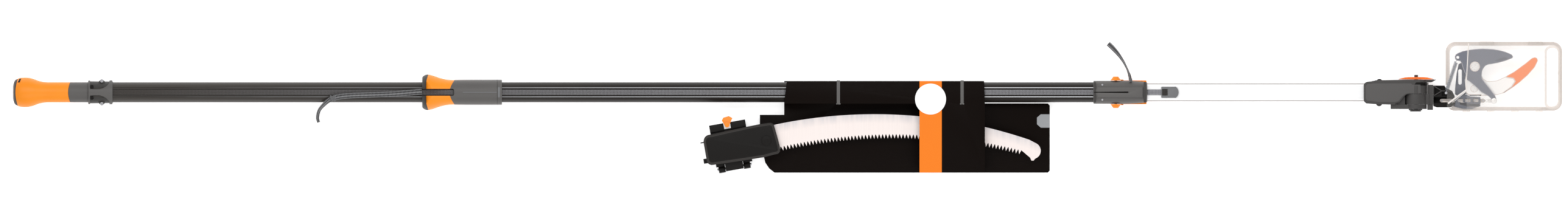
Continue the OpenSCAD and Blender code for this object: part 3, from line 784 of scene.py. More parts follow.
class Paint:
    """The object's finishes, each built once."""

    _made: dict[str, bpy.types.Material] = {}

    BLACK_TUBE = PowderCoat()
    WHITE_TUBE = Anodised()
    # Painted highlight on the groove's lips.
    LIP_HIGHLIGHT = LipHighlight()
    BARE_EDGE = Steel("bare_edge", tone(196, 198, 202), tone(120, 120, 124), 0.5, 0.35, Brush.ALONG)
    GREY = Moulded("grey_plastic", tone(97, 95, 93), tone(82, 80, 79), 0.5)
    HOUSING = Moulded("housing_plastic", tone(88, 86, 85), tone(80, 78, 77), 0.55)
    # A darker copy of the housing plastic: painted shade on the housing's shells and knuckle, and a painted
    # highlight on the black frame's ribs.
    SHADE_AND_HIGHLIGHT_GREY = Moulded("grey_painted_shade_and_highlight", tone(72, 70, 69), tone(62, 60, 59), 0.55)
    DARK = Moulded("dark_plastic", tone(62, 60, 58), tone(48, 46, 45), 0.5)
    # Black plastic, also used for black pieces that paint shadow in slots, gaps and recesses.
    BLACK_AND_SHADOW = Moulded("black_plastic_and_painted_shadow", tone(22, 19, 17), tone(12, 10, 8), 0.5, shine=0.16)
    ORANGE = Moulded("orange_plastic", tone(252, 150, 26), tone(247, 138, 14), 0.42)
    SIGNAL = Moulded("signal_orange", tone(255, 122, 14), tone(248, 106, 8), 0.4)
    AMBER = Moulded("amber_plastic", tone(250, 146, 34), tone(240, 130, 22), 0.42)
    # Tab plastic, also used for a painted highlight on the slide grip's end.
    TAB_AND_HIGHLIGHT = Moulded("tab_plastic_and_painted_highlight", tone(118, 119, 121), tone(103, 104, 106), 0.5)
    WEAVE = Braid("strap_weave", tone(162, 162, 167), tone(56, 53, 51), tone(76, 72, 68), 300)
    PALE_WEAVE = Braid("pale_weave", tone(176, 176, 182), tone(84, 84, 87), tone(176, 176, 182), 300)
    LOOP_WEAVE = Braid("loop_weave", tone(72, 70, 68), tone(30, 28, 27), tone(72, 70, 68), 300)
    TAIL_WEAVE = Braid("tail_weave", tone(140, 140, 142), tone(34, 34, 35), tone(140, 140, 142), 240,
                       (0.0, 0.3), True)
    PLATED = Steel("plated_steel", tone(214, 214, 218), tone(150, 150, 154), 0.8, 0.3)
    BOLT = Steel("white_bolt", tone(252, 250, 248), tone(232, 228, 224), 0.2, 0.3)
    WIRE = Steel("spring_wire", tone(190, 194, 202), tone(128, 133, 142), 0.7, 0.3)
    LINK = Steel("link_steel", tone(214, 205, 198), tone(150, 143, 138), 0.5, 0.35)
    COATED = Steel("coated_blade", tone(97, 103, 119), tone(84, 90, 107), 0.15, 0.42, Brush.ALONG)
    # Coated steel of the frame cover, also used for a painted reflection on the cutting blade.
    COVER_AND_REFLECTION = Steel("coated_cover_and_painted_reflection", tone(84, 90, 104), tone(66, 72, 86), 0.15, 0.42, Brush.ALONG)
    HOOK = Steel("ground_hook", tone(255, 254, 252), tone(252, 249, 246), 0.0, 0.42, Brush.ALONG)
    HOOK_TIP = Moulded("painted_tip", tone(252, 136, 54), tone(246, 122, 40), 0.4)
    SAW = SawSteel("saw_steel", (1.3447, -0.7836), 0.7493)
    CLEAR = ClearPlastic("clear_plastic")
    CLEAR_RIM = ClearPlastic("clear_plastic_rim", tone(248, 236, 230), 0.42, 0.75, 0.0)
    CLEAR_RIB = ClearPlastic("clear_plastic_rib", tone(255, 250, 248), 0.85, 0.95, 0.0)
    CLEAR_BACK = ClearPlastic("clear_plastic_back", tone(252, 246, 240), 0.08, 0.5, 0.0)
    # Painted shade: a darker, pinkish band round the edges of the hook, its tip, the pivot washer and the
    # frame bolt's cap.
    HOOK_RIM_SHADE = Steel("hook_rim_painted_shade", tone(222, 206, 198), tone(204, 188, 180), 0.2, 0.45)
    BLADE_RIM = Steel("blade_rim", tone(186, 184, 190), tone(160, 158, 164), 0.3, 0.4)
    # Painted highlight: a greyer band on the saw holder's bevelled border.
    HOLDER_RIM_HIGHLIGHT = Moulded("holder_rim_painted_highlight", tone(58, 55, 53), tone(40, 37, 35), 0.5, shine=0.25)
    CARD = Board("black_card", tone(9, 3, 1), tone(14, 6, 3), shine=0.06)
    BAND = Board("orange_card", tone(242, 126, 14), tone(238, 122, 18))
    DISC = Board("white_card", tone(254, 254, 254), tone(248, 248, 248), 0.6)
    BADGE = Board("grey_card", tone(158, 160, 163), tone(148, 150, 153))

    @classmethod
    def of(cls, finish: Finish) -> bpy.types.Material:
        """Material of a finish, built the first time that it is asked for.

        Args:
            finish: The finish.

        Returns:
            Its material.
        """
        if finish.name not in cls._made:
            cls._made[finish.name] = finish.material()
        return cls._made[finish.name]


# ---- solids ----


@dataclass
class Solid:
    """A mesh under construction; its sizes are given in millimetres.

    Attributes:
        bm: The bmesh.
    """

    bm: bmesh.types.BMesh = field(default_factory=bmesh.new)

    @classmethod
    def prism(cls, outline: Sequence[Point], z0: float, z1: float) -> "Solid":
        """Upright prism over an outline.

        Args:
            outline: Its XY corners.
            z0: Height of its foot.
            z1: Height of its top.

        Returns:
            The solid.
        """
        made = cls()
        corners = [made.bm.verts.new((x * MM, y * MM, z0 * MM)) for x, y in outline]
        face = made.bm.faces.new(corners)
        grown = bmesh.ops.extrude_face_region(made.bm, geom=[face])["geom"]
        top = [g for g in grown if isinstance(g, bmesh.types.BMVert)]
        bmesh.ops.translate(made.bm, verts=top, vec=(0, 0, (z1 - z0) * MM))
        return made.closed()

    @classmethod
    def paved(cls, cells: Sequence[Sequence[Point]], z0: float, z1: float) -> "Solid":
        """Upright plate over cells that share their sides.

        Args:
            cells: The XY corners of each cell.
            z0: Height of its foot.
            z1: Height of its top.

        Returns:
            The solid.
        """
        made = cls()
        for cell in cells:
            made.bm.faces.new([made.bm.verts.new((x * MM, y * MM, z0 * MM)) for x, y in cell])
        bmesh.ops.remove_doubles(made.bm, verts=made.bm.verts, dist=1e-7)
        grown = bmesh.ops.extrude_face_region(made.bm, geom=made.bm.faces[:])["geom"]
        top = [g for g in grown if isinstance(g, bmesh.types.BMVert)]
        bmesh.ops.translate(made.bm, verts=top, vec=(0, 0, (z1 - z0) * MM))
        return made.closed()

    @classmethod
    def along(cls, outline: Sequence[Point], x0: float, x1: float) -> "Solid":
        """Prism along the pole over a YZ outline, from x0 to x1."""
        made = cls.prism(outline, x0, x1)
        return made.placed(Matrix(((0, 0, 1, 0), (1, 0, 0, 0), (0, 1, 0, 0), (0, 0, 0, 1))))

    @classmethod
    def block(cls, low: Point, high: Point) -> "Solid":
        """Box between two corners.

        Args:
            low: Lowest corner.
            high: Highest corner.

        Returns:
            The solid.
        """
        made = cls()
        bmesh.ops.create_cube(made.bm, size=1)
        size = [(h - l) * MM for l, h in zip(low, high)]
        middle = [(h + l) * MM / 2 for l, h in zip(low, high)]
        bmesh.ops.scale(made.bm, verts=made.bm.verts, vec=size)
        bmesh.ops.translate(made.bm, verts=made.bm.verts, vec=middle)
        return made

    @classmethod
    def rod(cls, start: Point, end: Point, radius: float, end_radius: Optional[float] = None,
            sides: int = 40) -> "Solid":
        """Round bar or cone between two points.

        Args:
            start: Middle of its first end.
            end: Middle of its last end.
            radius: Radius of the first end.
            end_radius: Radius of the last end, if it differs.
            sides: Faces round it.

        Returns:
            The solid.
        """
        made = cls()
        a, b = Vector(start) * MM, Vector(end) * MM
        bmesh.ops.create_cone(
            made.bm, cap_ends=True, segments=sides, radius1=radius * MM,
            radius2=(radius if end_radius is None else end_radius) * MM, depth=(b - a).length,
        )
        turn = (b - a).to_track_quat("Z", "Y").to_matrix().to_4x4()
        return made.placed(Matrix.Translation((a + b) / 2) @ turn)

    @classmethod
    def drum(cls, x: float, radius: float, sides: int = 200) -> "Solid":
        """Drum that lies across the pole and bounds a colour with its round side."""
        return cls.rod((x, -45, 0), (x, 45, 0), radius, sides=sides)

    @classmethod
    def wire(cls, line: Sequence[Point], radius: float) -> "Solid":
        """Round wire along a line of points.

        Args:
            line: The points.
            radius: Radius of the wire.

        Returns:
            The solid.
        """
        curve = bpy.data.curves.new("wire", "CURVE")
        curve.dimensions = "3D"
        curve.bevel_depth = radius * MM
        curve.bevel_resolution = 2
        spline = curve.splines.new("POLY")
        spline.points.add(len(line) - 1)
        for point, co in zip(spline.points, line):
            point.co = (*(c * MM for c in co), 1)
        temp = bpy.data.objects.new("wire", curve)
        bpy.context.scene.collection.objects.link(temp)
        graph = bpy.context.evaluated_depsgraph_get()
        made = cls()
        made.bm.from_mesh(bpy.data.meshes.new_from_object(temp.evaluated_get(graph)))
        bpy.data.objects.remove(temp)
        bmesh.ops.holes_fill(made.bm, edges=made.bm.edges, sides=0)
        return made.closed()

    @classmethod
    def turned(cls, profile: Sequence[Point], steps: int = ROUND) -> "Solid":
        """Spin a closed loop about the pole's axis.

        Args:
            profile: Its (x, radius) points.
            steps: Faces round the axis.

        Returns:
            The solid.
        """
        made = cls()
        verts = [made.bm.verts.new((x * MM, 0, r * MM)) for x, r in profile]
        for a, b in zip(verts, verts[1:] + verts[:1]):
            if a.co.z > 1e-9 or b.co.z > 1e-9:
                made.bm.edges.new((a, b))
        bmesh.ops.spin(
            made.bm, geom=made.bm.verts[:] + made.bm.edges[:], cent=(0, 0, 0), axis=(1, 0, 0),
            angle=math.tau, steps=steps, use_merge=True,
        )
        return made.closed()

    @classmethod
    def of_node(cls, node: str) -> "Solid":
        """Merged copy of a CAD node's mesh, with its flat faces joined.

        Args:
            node: Name of the node.

        Returns:
            The solid.
        """
        made = cls()
        made.bm.from_mesh(frame["nodes"][node].data)
        bmesh.ops.remove_doubles(made.bm, verts=made.bm.verts, dist=1e-6)
        bmesh.ops.dissolve_limit(
            made.bm, angle_limit=math.radians(0.5), verts=made.bm.verts, edges=made.bm.edges
        )
        return made

    def closed(self) -> "Solid":
        """Merge doubles and turn the faces outwards.

        Returns:
            This solid.
        """
        bmesh.ops.remove_doubles(self.bm, verts=self.bm.verts, dist=1e-7)
        bmesh.ops.recalc_face_normals(self.bm, faces=self.bm.faces)
        return self

    def placed(self, matrix: Matrix) -> "Solid":
        """Move every point.

        Args:
            matrix: The move, in metres.

        Returns:
            This solid.
        """
        bmesh.ops.transform(self.bm, matrix=matrix, verts=self.bm.verts)
        if matrix.determinant() < 0:
            bmesh.ops.reverse_faces(self.bm, faces=self.bm.faces)
        return self

    def moved(self, x: float = 0, y: float = 0, z: float = 0) -> "Solid":
        """Move every point by millimetres."""
        return self.placed(Matrix.Translation((x * MM, y * MM, z * MM)))

    def copy(self) -> "Solid":
        """Another solid of the same shape."""
        return Solid(self.bm.copy())

    def add(self, *others: "Solid") -> "Solid":
        """Take other solids in as they are.

        Args:
            others: The other solids, which are used up.

        Returns:
            This solid.
        """
        for other in others:
            mesh = bpy.data.meshes.new("part")
            other.bm.to_mesh(mesh)
            self.bm.from_mesh(mesh)
            bpy.data.meshes.remove(mesh)
            other.bm.free()
        return self

    def _boolean(self, other: "Solid", operation: str) -> "Solid":
        """Combine with another solid.

        Args:
            other: The other solid, which is used up.
            operation: The Boolean modifier's operation.

        Returns:
            This solid.
        """
        pair = []
        for solid in (self, other):
            mesh = bpy.data.meshes.new("work")
            solid.bm.to_mesh(mesh)
            pair.append(bpy.data.objects.new("work", mesh))
            bpy.context.scene.collection.objects.link(pair[-1])
        step = pair[0].modifiers.new("cut", "BOOLEAN")
        step.operation = operation
        step.solver = "EXACT"
        step.object = pair[1]
        graph = bpy.context.evaluated_depsgraph_get()
        result = bpy.data.meshes.new_from_object(pair[0].evaluated_get(graph))
        self.bm.clear()
        self.bm.from_mesh(result)
        for obj in pair:
            mesh = obj.data
            bpy.data.objects.remove(obj)
            bpy.data.meshes.remove(mesh)
        bpy.data.meshes.remove(result)
        other.bm.free()
        return self

    def join(self, *others: "Solid") -> "Solid":
        """Merge other solids into one skin with this one.

        Args:
            others: The other solids, which are used up.

        Returns:
            This solid.
        """
        for other in others:
            self._boolean(other, "UNION")
        return self

    def cut(self, *others: "Solid") -> "Solid":
        """Take other solids away.

        Args:
            others: The other solids, which are used up.

        Returns:
            This solid.
        """
        for other in others:
            self._boolean(other, "DIFFERENCE")
        return self

    def keep(self, other: "Solid") -> "Solid":
        """Keep what another solid covers."""
        return self._boolean(other, "INTERSECT")

    def rimmed(self, width: float) -> "Solid":
        """Mark a band along the edges of the top faces for the rim's finish.

        Args:
            width: Width of the band.

        Returns:
            This solid.
        """
        tops = [f for f in self.bm.faces if f.normal.z > 0.95]
        ring = bmesh.ops.inset_region(
            self.bm, faces=tops, thickness=width * MM, use_even_offset=True, use_boundary=True
        )["faces"]
        for band in ring:
            band.material_index = 1
        return self

    def bevelled(self, width: float, segments: int = 2, over: float = 40) -> "Solid":
        """Round the edges that are sharper than an angle.

        Args:
            width: Width of the rounding.
            segments: Faces across it.
            over: Smallest angle in degrees between the faces of an edge.

        Returns:
            This solid.
        """
        bmesh.ops.remove_doubles(self.bm, verts=self.bm.verts, dist=2e-6)
        edges = [
            e for e in self.bm.edges
            if e.is_manifold and e.calc_face_angle(0) > math.radians(over)
        ]
        bmesh.ops.bevel(
            self.bm, geom=edges, offset=width * MM, offset_type="OFFSET", segments=segments,
            profile=0.5, affect="EDGES", clamp_overlap=True, material=-1,
        )
        return self


@dataclass(frozen=True)
class Bench:
    """Where one body's finished pieces are made.

    Attributes:
        body: The CAD body that its pieces ride on.
    """

    body: str

    def piece(self, name: str, solid: Solid, finish: Finish, slot: str,
              stands_for: Iterable[str] = (), rim: Optional[Finish] = None,
              rides: bool = True) -> bpy.types.Object:
        """Finish a solid as a named piece.

        Args:
            name: Name of the piece.
            solid: Its mesh.
            finish: Its finish.
            slot: The record's material slot, not used.
            stands_for: CAD nodes that it replaces.
            rim: Finish of the faces that rimmed() marked.
            rides: Whether it rides on the body; if not, it is left unattached.

        Returns:
            The piece.
        """
        for edge in solid.bm.edges:
            edge.smooth = edge.is_manifold and edge.calc_face_angle(0) < SHARP
        for face in solid.bm.faces:
            face.smooth = True
        mesh = bpy.data.meshes.new(name)
        solid.bm.to_mesh(mesh)
        solid.bm.free()
        for coat in (finish, rim):
            if coat:
                mesh.materials.append(Paint.of(coat))
        obj = bpy.data.objects.new(name, mesh)
        bpy.context.scene.collection.objects.link(obj)
        if rides:
            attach(obj, self.body)
        if stands_for:
            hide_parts(*stands_for)
        LOG.info("%s: %d faces", name, len(mesh.polygons))
        return obj

    def softened(self, node: str, finish: Finish, slot: str, width: float = 0.4,
                 *additions: Solid) -> bpy.types.Object:
        """Stand a bevelled copy of a CAD node in its place, with solids added."""
        solid = Solid.of_node(node).bevelled(width)
        return self.piece(node + "_skin", solid.add(*additions), finish, slot, [node])

    def ground(self, node: str, finish: Finish, rim: Finish, slot: str,
               width: float) -> bpy.types.Object:
        """Stand a copy of a flat CAD node in its place, with a rim of another finish."""
        solid = Solid.of_node(node).rimmed(width).bevelled(0.25, 1)
        return self.piece(node + "_skin", solid, finish, slot, [node], rim)


def dress(finish: Finish, *nodes: str) -> None:
    """Give carried-over CAD nodes a finish.

    Args:
        finish: The finish.
        nodes: Names of the nodes.
    """
    for node in nodes:
        mesh = frame["nodes"][node].data
        mesh.materials.clear()
        mesh.materials.append(Paint.of(finish))
        LOG.info("%s: dressed as %s", node, finish.name)


# ---- stage ----


@dataclass
class Stage:
    """Camera, floor and light.

    Attributes:
        centre: Middle of the view, in metres.
        width: Width of the view, in metres.
        height: Height of the camera, in metres.
    """

    centre: tuple[float, float] = (1.2032, -0.0144)
    width: float = 2.4472
    height: float = 3.0

    def camera(self) -> None:
        """Look straight down, without perspective."""
        data = bpy.data.cameras.new("camera")
        data.type = "ORTHO"
        data.ortho_scale = self.width
        data.clip_end = 30
        obj = bpy.data.objects.new("camera", data)
        obj.location = (*self.centre, self.height)
        bpy.context.scene.collection.objects.link(obj)
        bpy.context.scene.camera = obj

    def floor(self) -> None:
        """Lay a plain pale floor under the object's lowest point."""
        bm = bmesh.new()
        bmesh.ops.create_grid(bm, x_segments=1, y_segments=1, size=30)
        low = min(corner[2] for corner in CAD_BOX)
        bmesh.ops.translate(bm, verts=bm.verts, vec=(self.centre[0], self.centre[1], low - 0.0003))
        mesh = bpy.data.meshes.new("floor")
        bm.to_mesh(mesh)
        bm.free()
        recipe = Recipe("pale_floor")
        cloud = recipe.noise(recipe.place(), 1.5, 2)
        colour = recipe.blend(cloud, tone(250, 250, 250), tone(254, 254, 254))
        mesh.materials.append(recipe.surface(colour, 0.9, {
            "Specular IOR Level": 0.0, "Emission Color": (1, 1, 1), "Emission Strength": 0.55,
        }))
        obj = bpy.data.objects.new("floor", mesh)
        bpy.context.scene.collection.objects.link(obj)
        obj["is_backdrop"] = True

    def light(self) -> None:
        """Set soft studio light: an even sky and wide lamps above."""
        world = bpy.data.worlds.new("studio")
        world.use_nodes = True
        world.node_tree.nodes["Background"].inputs["Color"].default_value = (1, 1, 1, 1)
        world.node_tree.nodes["Background"].inputs["Strength"].default_value = 0.62
        bpy.context.scene.world = world
        for name, place, size, power in (
            ("key", (1.0, 0.9, 2.2), (3.2, 0.8), 26),
            ("fill", (1.4, -1.1, 1.9), (3.2, 0.8), 14),
        ):
            data = bpy.data.lights.new(name, "AREA")
            data.shape = "RECTANGLE"
            data.size, data.size_y = size
            data.energy = power
            lamp = bpy.data.objects.new(name, data)
            lamp.location = place
            aim = Vector((*self.centre, 0)) - Vector(place)
            aim.x = 0
            lamp.rotation_euler = aim.to_track_quat("-Z", "Y").to_euler()
            bpy.context.scene.collection.objects.link(lamp)
        bpy.context.scene.view_settings.view_transform = "Standard"

    def build(self) -> None:
        """Set the whole stage."""
        self.camera()
        self.floor()
        self.light()


# ---- straps that hang free ----


@dataclass
class StrapTail:
    """A free flat strap tail that lies along a route.

    Attributes:
        name: Name of the piece.
        body: Body that it rides on.
        node: CAD node that it stands for.
        route: Its middle line, in metres.
        width: Width of the strap, in millimetres.
        thick: Thickness of the strap, in millimetres.
        facing: Direction that its flat side faces along the route.
        pinch: Shares of the width along the route, spread evenly.
        sides: Points round its section.
    """

    name: str
    body: str
    node: str
    route: Sequence[Point]
    width: float
    thick: float
    facing: Sequence[Point]
    pinch: Sequence[float]
    sides: int = 12

    def _ring(self, at: Vector, ahead: Vector, up: Vector, share: float) -> list[Vector]:
        """Points round the strap's flat oval section.

        Args:
            at: Middle of the section.
            ahead: Direction of the route.
            up: Direction that the flat side faces.
            share: Share of the strap's full width.

        Returns:
            The points, in metres.
        """
        across = ahead.cross(up).normalized()
        rise = across.cross(ahead).normalized()
        made = []
        for k in range(self.sides):
            turn = math.tau * k / self.sides
            side = math.copysign(abs(math.cos(turn)) ** 0.6, math.cos(turn))
            lift = math.copysign(abs(math.sin(turn)) ** 0.8, math.sin(turn))
            made.append(
                at + across * side * self.width * share * MM / 2
                + rise * lift * self.thick * MM / 2
            )
        return made

    def _sweep(self, line: Sequence[Vector]) -> Solid:
        """Sweep the section along a line, with a UV map in metres.

        Args:
            line: The line, in metres.

        Returns:
            The strap.
        """
        bm = bmesh.new()
        layer = bm.loops.layers.uv.new("UVMap")
        faces_up = [Vector(up) for up in self.facing]
        rings, run, places = [], 0.0, []
        for i, at in enumerate(line):
            ahead = (line[min(i + 1, len(line) - 1)] - line[max(i - 1, 0)]).normalized()
            share = i / (len(line) - 1)
            ring = self._ring(at, ahead, between(faces_up, share), between(self.pinch, share))
            rings.append([bm.verts.new(p) for p in ring])
            run += (at - line[i - 1]).length if i else 0.0
            places.append(run)
        for i, (a, b) in enumerate(zip(rings, rings[1:])):
            for k in range(self.sides):
                n = (k + 1) % self.sides
                face = bm.faces.new((a[k], a[n], b[n], b[k]))
                corners = ((i, k), (i, k + 1), (i + 1, k + 1), (i + 1, k))
                for loop, (row, col) in zip(face.loops, corners):
                    across = self.width * MM * abs(2 * ((col / self.sides) % 1) - 1)
                    loop[layer].uv = (places[row], across)
        for ring in (rings[0], rings[-1]):
            bm.faces.new(ring)
        bmesh.ops.recalc_face_normals(bm, faces=bm.faces)
        return Solid(bm)

    def build(self, with_pieces: Sequence[bpy.types.Object]) -> None:
        """Args:
            with_pieces: The pieces that are on it, not used.
        """
        line = [Vector(p) for p in eased(self.route, 4)]
        bench = Bench(self.body)
        piece = bench.piece(self.name, self._sweep(line), Paint.TAIL_WEAVE, "strap", [self.node])


@dataclass
class StrapTails:
    """The two free strap ends, at the slide grip and at the pole clamp.

    Attributes:
        grip_route: Middle line of the tail at the slide grip, in metres.
        clamp_route: Middle line of the tail at the pole clamp, in metres.
    """

    grip_route: Sequence[Point] = (
        (0.638, 0.001, 0.0184), (0.626, 0, 0.0184), (0.614, -0.001, 0.0184),
        (0.602, -0.002, 0.0184), (0.588, -0.003, 0.0184), (0.574, -0.0035, 0.0184),
        (0.560, -0.004, 0.0184), (0.546, -0.0045, 0.0184), (0.532, -0.005, 0.0184),
        (0.518, -0.006, 0.0184), (0.507, -0.0075, 0.0182), (0.498, -0.010, 0.0174),
        (0.491, -0.014, 0.0145), (0.486, -0.0185, 0.009), (0.4825, -0.022, 0.001),
        (0.480, -0.025, -0.007), (0.478, -0.028, -0.014), (0.4765, -0.032, -0.020),
        (0.4755, -0.037, -0.024), (0.4755, -0.042, -0.0257), (0.477, -0.047, -0.0258),
    )
    clamp_route: Sequence[Point] = (
        (1.745, 0.016, 0.0095), (1.744, 0.020, 0.010), (1.743, 0.024, 0.0095),
        (1.742, 0.028, 0.008), (1.7405, 0.032, 0.005), (1.739, 0.036, 0.0005),
        (1.737, 0.040, -0.005), (1.735, 0.044, -0.0105), (1.7325, 0.0485, -0.016),
        (1.7295, 0.053, -0.0205), (1.726, 0.058, -0.024), (1.7215, 0.0635, -0.0257),
        (1.717, 0.0685, -0.0258), (1.7125, 0.073, -0.0258), (1.709, 0.076, -0.0258),
    )

    @staticmethod
    def knot(body: str, name: str, at: Point, size: Point) -> bpy.types.Object:
        """Tie a small overhand knot: three soft wraps round the strap.

        Args:
            body: Body that it rides on.
            name: Name of the piece.
            at: Its middle, in metres.
            size: Its length, half width and half height, in millimetres.

        Returns:
            The piece.
        """
        made = Solid()
        for turn, tilt in ((0, 0.5), (1, -0.4), (2, 0.1)):
            wrap = Solid()
            bmesh.ops.create_uvsphere(wrap.bm, u_segments=20, v_segments=12, radius=MM)
            matrix = Matrix.Translation(Vector(at) + Vector(((turn - 1) * size[0] * 0.45 * MM, 0, 0)))
            matrix @= Matrix.Rotation(tilt, 4, "Z")
            matrix @= Matrix.Diagonal((size[0] * 0.5, size[1], size[2], 1))
            made.add(wrap.placed(matrix))
        return Bench(body).piece(name, made, Paint.TAIL_WEAVE, "strap")

    def build(self) -> None:
        """Lay both tails."""
        up = (0, 0, 1)
        down_side = (-0.3, -0.9, 0.35)
        grip_knot = self.knot("slide_grip", "grip_tail_knot", (0.4995, -0.0092, 0.0180), (4.6, 5.2, 3.0))
        StrapTail(
            "grip_strap_tail", "slide_grip", "grip_tail", self.grip_route, 8.6, 2.4,
            [up, up, up, up, up, (0, -0.5, 0.8), down_side, down_side, (-0.2, -0.4, 0.9)],
            [1.1, 1.05, 1.0, 1.0, 1.0, 1.0, 0.85, 0.7, 0.62, 0.6, 0.56],
        ).build([grip_knot])
        clamp_knot = self.knot("pole", "clamp_tail_knot", (1.7443, 0.0190, 0.0098), (2.8, 3.6, 3.0))
        StrapTail(
            "clamp_strap_tail", "pole", "clamp_tail", self.clamp_route, 6.0, 2.2,
            [(0.6, 0, 0.8), (0.7, 0.3, 0.6), (0.5, 0.5, 0.6), (0, 0, 1)],
            [0.7, 1.0, 0.75, 0.85, 1.1, 1.25, 1.2],
        ).build([clamp_knot])


# ---- pole and butt ----


@dataclass
class Pole:
    """Outer tube with its strap groove, butt sleeve and butt collar.

    Attributes:
        radius: Outside radius of the tube.
        wall: Wall of the tube.
        groove: Half width of the groove.
        floor: Height of the groove's floor.
        lip: Depth of the groove's square lips.
        sleeve_start: Start of the butt sleeve, inside the knob's shell.
        bench: Bench that its pieces are made on.
    """

    radius: float = 15.7
    wall: float = 1.2
    groove: float = 5.2
    floor: float = 12.6
    lip: float = 1.2
    sleeve_start: float = 80.0
    bench: Bench = Bench("pole")

    def tube(self) -> None:
        """Draw the tube with its groove, and thin strips on its lips that carry a painted highlight."""
        low, high = span("outer_tube")
        x0, x1 = low[0], high[0]
        edge = math.degrees(math.asin((self.groove + 0.4) / self.radius))
        outline = [
            *arc((0, 0), self.radius, 90 + edge, 450 - edge, ROUND),
            (self.groove, self.radius - self.lip), (self.groove, self.floor),
            (-self.groove, self.floor), (-self.groove, self.radius - self.lip),
        ]
        bore = flatted(self.radius - self.wall, self.floor - self.wall)
        shell = Solid.along(outline, x0, x1).cut(Solid.along(bore, x0 - 1, x1 + 1))
        self.bench.piece("outer_tube_skin", shell, Paint.BLACK_TUBE, "tube_black", ["outer_tube"])
        # Painted highlight: thin strips along both lips of the groove, paler towards the clamp.
        lips = Solid()
        start, end = span("butt_collar")[1][0], span("clamp_shell_upper")[0][0]
        for side in (-1, 1):
            angles = [90 - side * math.degrees(math.asin(y / self.radius)) for y in (6.5, 7.7)]
            inner = arc((0, 0), self.radius - 0.2, angles[0], angles[1], 3)
            outer = arc((0, 0), self.radius + 0.12, angles[1], angles[0], 3)
            lips.add(Solid.along([*inner, *outer], start, end).closed())
        self.bench.piece("groove_lip_highlights", lips, Paint.LIP_HIGHLIGHT, "alloy_tube")

    def strap(self) -> None:
        """Lay the pull strap in the groove."""
        low, high = span("groove_strap")
        strap = Solid.along(rounded(low[1:], high[1:], 0.5, 4), low[0], high[0])
        self.bench.piece("groove_strap_weave", strap, Paint.WEAVE, "strap", ["groove_strap"])

    def sleeve(self, x0: float) -> None:
        """Make the butt sleeve, whose near end follows the knob's shell.

        Args:
            x0: Start of the collar.
        """
        inside = self.radius - 6
        sleeve = Solid.turned([
            (self.sleeve_start, inside), (self.sleeve_start, self.radius),
            (x0 + 3, self.radius), (x0 + 3, inside),
        ])
        sleeve.cut(Solid.drum(ButtKnob.shell_x, ButtKnob.shell_r + 0.35, 160))
        self.bench.piece("butt_sleeve_skin", sleeve, Paint.GREY, "plastic_grey", ["butt_sleeve"])

    def collar(self, x0: float) -> None:
        """Make the butt collar with its flared saddle and painted shadows in the corners of its windows.

        Args:
            x0: Start of the collar.
        """
        self.bench.softened("butt_collar", Paint.DARK, "plastic_dark", 0.5)
        flare = eased([(x0 + 3.4, 5.2), (x0 + 14, 4.9), (x0 + 21, 5.6), (x0 + 28, 9), (x0 + 33, 14)], 5)
        near, far, end, wide = x0 + 3.2, x0 + 34, x0 + 38, 25
        saddle = Solid.prism([
            (x0 - 1, -wide), (near, -wide), *[(x, -y) for x, y in flare], (far, -wide), (end, -wide),
            (end, wide), (far, wide), *flare[::-1], (near, wide), (x0 - 1, wide),
        ], 0, 30)
        skin = Solid.turned([(x0 + 0.2, 16), (x0 + 0.2, 17.9), (x0 + 1, 18.5), (x0 + 37.6, 18.7),
                             (x0 + 38.2, 18.2), (x0 + 38.2, 16)])
        skin.keep(saddle).bevelled(0.35, 2, 50)
        self.bench.piece("collar_saddle", skin, Paint.GREY, "plastic_dark")
        # Painted shadow: black blocks in the near corners of the collar's windows.
        corner_shadows = Solid()
        for side in (-1, 1):
            outline = rounded((x0 + 3.4, 5.4), (x0 + 8.6, 11.5), 2)
            corner_shadows.add(Solid.prism([(x, side * y) for x, y in outline], 10, 17.7).closed())
        self.bench.piece("collar_painted_shadows", corner_shadows, Paint.BLACK_AND_SHADOW, "plastic_dark")
        dress(Paint.PLATED, "collar_screws")

    def build(self) -> None:
        """Make every piece."""
        start = span("butt_collar")[0][0]
        self.tube()
        self.strap()
        self.sleeve(start)
        self.collar(start)


@dataclass
class ButtKnob:
    """Round pull knob at the butt: end cap, orange shell and stem.

    Attributes:
        cap_x: Place of the axis that the cap's curved edge turns about.
        cap_r: Radius of that edge.
        shell_x: Place of the axis that the shell's far edge turns about.
        shell_r: Radius of that edge.
        bore: Radius of the bore for the stem.
        bench: Bench that its pieces are made on.
    """

    cap_x: float = -44.0
    cap_r: float = 51.4
    shell_x: float = 50.0
    shell_r: float = 39.0
    bore: float = 10.0
    bench: Bench = Bench("butt_knob")

    def build(self) -> None:
        """Make every piece."""
        profile = eased([
            (6.9, 20.9), (9, 22), (13, 22.8), (19, 23.1), (24, 22.8), (29, 21.8), (34, 20.2),
            (39, 18.3), (44, 16.9), (49, 16.05), (54, 15.7),
        ], 4)
        dome = eased([(0, 8.6), (0.4, 12), (1.8, 16.6), (3.6, 19.3), (6.4, 20.75)], 4)
        body = Solid.turned([(0, 0), *dome, *profile, (89, 15.7), (89, 0)])
        cap = body.copy().keep(Solid.drum(self.cap_x, self.cap_r, 240))
        self.bench.piece("knob_cap_skin", cap, Paint.DARK, "plastic_dark", ["knob_cap"])
        # Painted shadow: a black strip just proud of the shell, where its slot lies.
        knob_slot_shade = body.copy().placed(Matrix.Diagonal((1, 1.008, 1.008, 1)))
        knob_slot_shade.keep(Solid.prism([(7.2, 15.4), (9.8, 21.3), (12.7, 21.5), (10.4, 15.4)], 2, 30))
        self.bench.piece("knob_slot_painted_shadow", knob_slot_shade, Paint.BLACK_AND_SHADOW, "plastic_dark")
        reach = Solid.block((0, -30, -30), (60, 30, 30))
        body.keep(reach.join(Solid.drum(self.shell_x, self.shell_r, 160)))
        body.cut(
            Solid.drum(self.cap_x, self.cap_r + 0.1, 240), Solid.rod((14, 0, 0), (95, 0, 0), self.bore),
        )
        self.bench.piece("knob_shell_skin", body, Paint.ORANGE, "plastic_orange", ["knob_shell"])
        dress(Paint.BARE_EDGE, "knob_stem")


